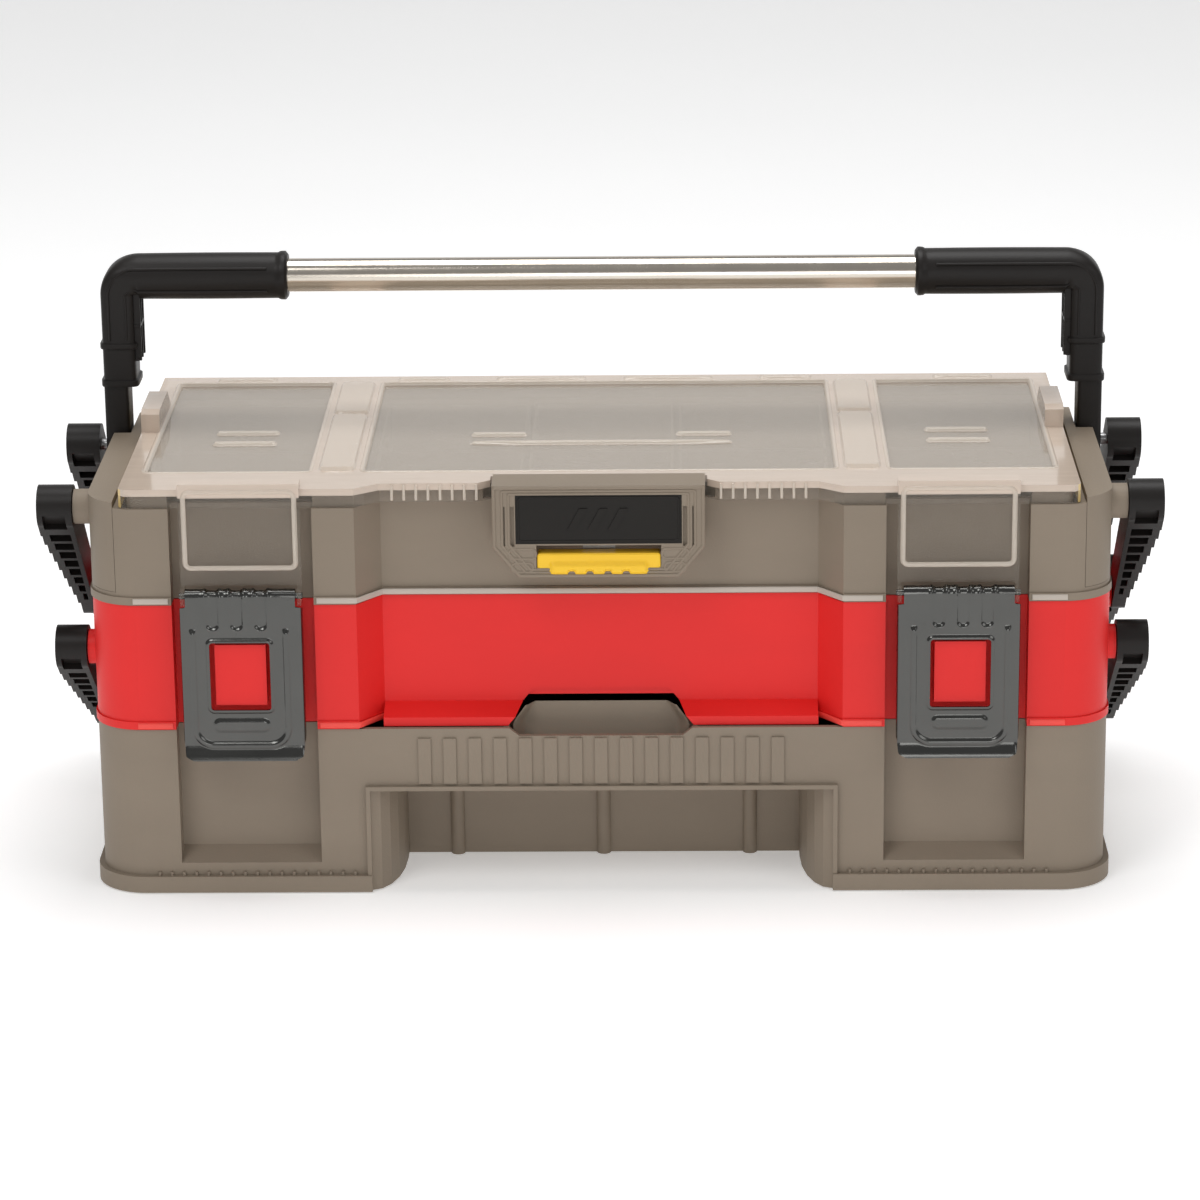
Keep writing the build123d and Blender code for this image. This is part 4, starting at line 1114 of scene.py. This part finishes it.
@dataclass
class Edging(Sub):
    """Beads along the trays' bottom edges, coloured lighter than their trays as a painted highlight, and the
    moulded finger scoop in the base.
    """

    bay: tuple[float, float] = (142.0, 213.0)
    recess: tuple[float, float] = (109.0, 121.0)
    recess_depth: float = 16.0

    def build(self) -> None:
        """Make the beads of both trays, then the scoop."""
        front = self.front
        outer = (self.bay[1] + 1.5, 232.0)
        ramp = ((self.bay[0] - 1.5, 0.0), (self.recess[1] - 0.4, 0.0), (self.recess[0] - 0.4, 1.0))
        # Each bead wears a lighter copy of its tray's plastic: painted highlight along the bead's top.
        for name, level, end, body, finish, slot in (
                ("top", 154.4, 0.0, "top", Finish.BEAD_GREY, "grey_plastic"),
                ("middle", 88.9, 48.0, "middle", Finish.BEAD_RED, "red_plastic")):
            for side in Side:
                s = side.value
                runs = {"corner": np.array([(outer[1], 0.0), (outer[0], 0.0)]),
                        "recess": np.array([*ramp, (end, 1.0)])}
                for run, corners in runs.items():
                    points = self.resampled(corners)
                    x = s * points[:, 0]
                    y = front + points[:, 1] * (self.recess_depth - 0.9) - 0.95
                    path = np.stack([x, y, np.full_like(x, level)], -1) * MM
                    count = len(path)
                    piece = swept(f"bead_{name}_{run}_{side.word}", path,
                                  repeated((0.0, 0.0, 1.0), count), repeated((0.0, 1.0, 0.0), count),
                                  repeated((1.5 * MM, 0.75 * MM), count), np.full(count, 2.6), finish, 20)
                    self.settle(piece, body, slot)
        self.add_scoop(front)

    def resampled(self, corners: Grid, count: int = 60) -> Grid:
        """Points at equal shares of the length along a run of straight stretches."""
        steps = np.hypot(np.diff(corners[:, 0]), np.diff(corners[:, 1]) * self.recess_depth)
        at = np.concatenate([[0.0], np.cumsum(steps)])
        t = np.linspace(0.0, at[-1], count)
        return np.stack([np.interp(t, at, corners[:, 0]), np.interp(t, at, corners[:, 1])], -1)

    def add_scoop(self, front: float) -> None:
        """Curved wall of the finger scoop.

        The profile (depth, height) runs from the dipped rim down, back and up. It is carried
        across, with a half width for each of its points, and its sides turn forward.
        """
        profile = np.array([(3.1, 82.0, 43.0), (3.4, 77.0, 42.4), (5.5, 73.8, 42.0), (8.5, 73.0, 42.0),
                            (11.5, 75.4, 42.6), (14.2, 79.5, 43.6), (15.4, 83.5, 44.4), (15.8, 87.0, 44.0),
                            (16.0, 91.5, 40.8), (16.1, 96.0, 37.6)])
        rows, columns = 70, 81
        t = np.linspace(0.0, 1.0, rows)
        knots = np.linspace(0.0, 1.0, len(profile))
        d, z, w = (np.interp(t, knots, profile[:, i]) for i in range(3))
        kernel = np.ones(7) / 7.0
        d, z, w = (np.convolve(np.pad(v, 3, mode="edge"), kernel, mode="valid") for v in (d, z, w))
        u = np.linspace(-1.0, 1.0, columns)
        side = smooth_step(0.86, 1.0, np.abs(u))
        x = u[None, :] * w[:, None]
        y = front + d[:, None] - side[None, :] * np.maximum(d[:, None] - 4.0, 0.0) * 0.55
        height = np.repeat(z[:, None], len(u), axis=1)
        face = np.stack([x, y, height], -1).reshape(-1, 3)
        rear = face + np.array([0.0, 0.7, -0.5])
        quads = grid_faces(rows, columns)
        count = len(face)
        back = [tuple(count + q for q in reversed(quad)) for quad in quads]
        last, end = rows - 1, columns - 1
        ring = np.concatenate([np.arange(columns), np.arange(1, rows) * columns + end,
                               last * columns + np.arange(end - 1, -1, -1),
                               np.arange(last - 1, 0, -1) * columns])
        after = np.roll(ring, -1)
        wall = np.stack([ring, after, after + count, ring + count], -1).tolist()
        piece = to_mesh("scoop_wall", np.vstack([face, rear]) * MM, quads + back + wall,
                        Finish.GREY.material(), 60.0)
        self.settle(piece, "base", "grey_plastic")


@dataclass
class Studio:
    """Pale floor, soft lights, plain surroundings and the camera."""

    position: RGB = (0.040174, -2.185212, 0.818601)
    pitch: float = 17.7278
    yaw: float = 1.0993
    roll: float = -0.62997
    lens: float = 131.95

    def build(self) -> None:
        """Make everything that isn't part of the object."""
        bpy.context.scene.view_settings.view_transform = "Standard"
        self.floor()
        self.world()
        self.light("key_light", (-0.9, -1.3, 2.0), (0.0, 0.0, 0.12), 0.9, 12.0)
        self.light("fill_light", (1.4, -1.2, 1.2), (0.0, 0.0, 0.12), 0.9, 4.0)
        self.light("top_light", (0.1, 0.35, 2.2), (0.0, 0.0, 0.15), 1.3, 26.0)
        self.light("low_front_light", (0.1, -2.6, 0.5), (0.0, 0.0, 0.10), 0.8, 5.5)
        self.camera()

    def floor(self) -> None:
        """A wide sheet, level under the object and curved up far behind it."""
        u, v = np.meshgrid(np.linspace(-6.0, 6.0, 24), np.linspace(0.0, 1.0, 60), indexing="ij")
        back = np.maximum(v * 10.0 - 7.0, 0.0)
        points = np.stack([u, -4.0 + v * 10.0 - back * 0.4, -0.0006 + back ** 2 * 0.35], -1).reshape(-1, 3)
        g = Graph("floor_paper")
        tone = g.mix(g.noise(3.0, 2.0), (0.93, 0.93, 0.93), (0.96, 0.96, 0.96))
        g.set(Base_Color=tone, Roughness=0.9, Emission_Color=(1.0, 1.0, 1.0), Emission_Strength=0.30)
        to_mesh("floor_sheet", points, grid_faces(24, 60), g.material)

    def world(self) -> None:
        """Even pale surroundings."""
        world = bpy.data.worlds.new("studio_air")
        world.use_nodes = True
        shade = world.node_tree.nodes["Background"]
        shade.inputs[0].default_value = (1.0, 1.0, 1.0, 1.0)
        shade.inputs[1].default_value = 0.30
        bpy.context.scene.world = world

    def light(self, name: str, place: RGB, target: RGB, size: float, power: float) -> None:
        """One square soft light aimed at a point."""
        lamp = bpy.data.lights.new(name, "AREA")
        lamp.size = size
        lamp.energy = power
        obj = bpy.data.objects.new(name, lamp)
        obj.location = place
        obj.rotation_euler = (Vector(target) - Vector(place)).to_track_quat("-Z", "Y").to_euler()
        bpy.context.scene.collection.objects.link(obj)

    def camera(self) -> None:
        """Camera from its position, pitch, yaw, roll and lens."""
        pitch, yaw, roll = (math.radians(v) for v in (self.pitch, self.yaw, self.roll))
        ahead = Vector((-math.sin(yaw) * math.cos(pitch), math.cos(yaw) * math.cos(pitch), -math.sin(pitch)))
        level = Vector((math.cos(yaw), math.sin(yaw), 0.0))
        upright = level.cross(ahead)
        right = math.cos(roll) * level + math.sin(roll) * upright
        up = math.cos(roll) * upright - math.sin(roll) * level
        data = bpy.data.cameras.new("view_camera")
        data.lens = self.lens
        data.sensor_width = 36.0
        obj = bpy.data.objects.new("view_camera", data)
        turn = Matrix((right, up, -ahead)).transposed().to_4x4()
        obj.matrix_world = Matrix.Translation(self.position) @ turn
        bpy.context.scene.collection.objects.link(obj)
        bpy.context.scene.camera = obj


def main() -> None:
    """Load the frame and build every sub-assembly."""
    logging.basicConfig(level=logging.INFO, format="%(name)s %(message)s")
    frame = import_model()
    Studio().build()
    slots = {part["node"]: part["material_slot"] for part in frame["record"]["subparts"]}
    finishes = {"grey_plastic": Finish.GREY, "red_plastic": Finish.RED, "black_plastic": Finish.BLACK,
                "clear_plastic": Finish.CLEAR, "cup_plastic": Finish.CUP, "badge_black": Finish.BADGE,
                "yellow_plastic": Finish.YELLOW, "handle_steel": Finish.TUBE,
                "zinc_steel": Finish.ZINC, "pin_steel": Finish.STEEL}
    Shells(finishes).dress(frame["nodes"], slots)
    for side in Side:
        Latch(side).build()
        Handle(side).build()
    for part in (LidTrim(), Nameplate(), Edging()):
        part.build()


if __name__ == "__main__":
    main()
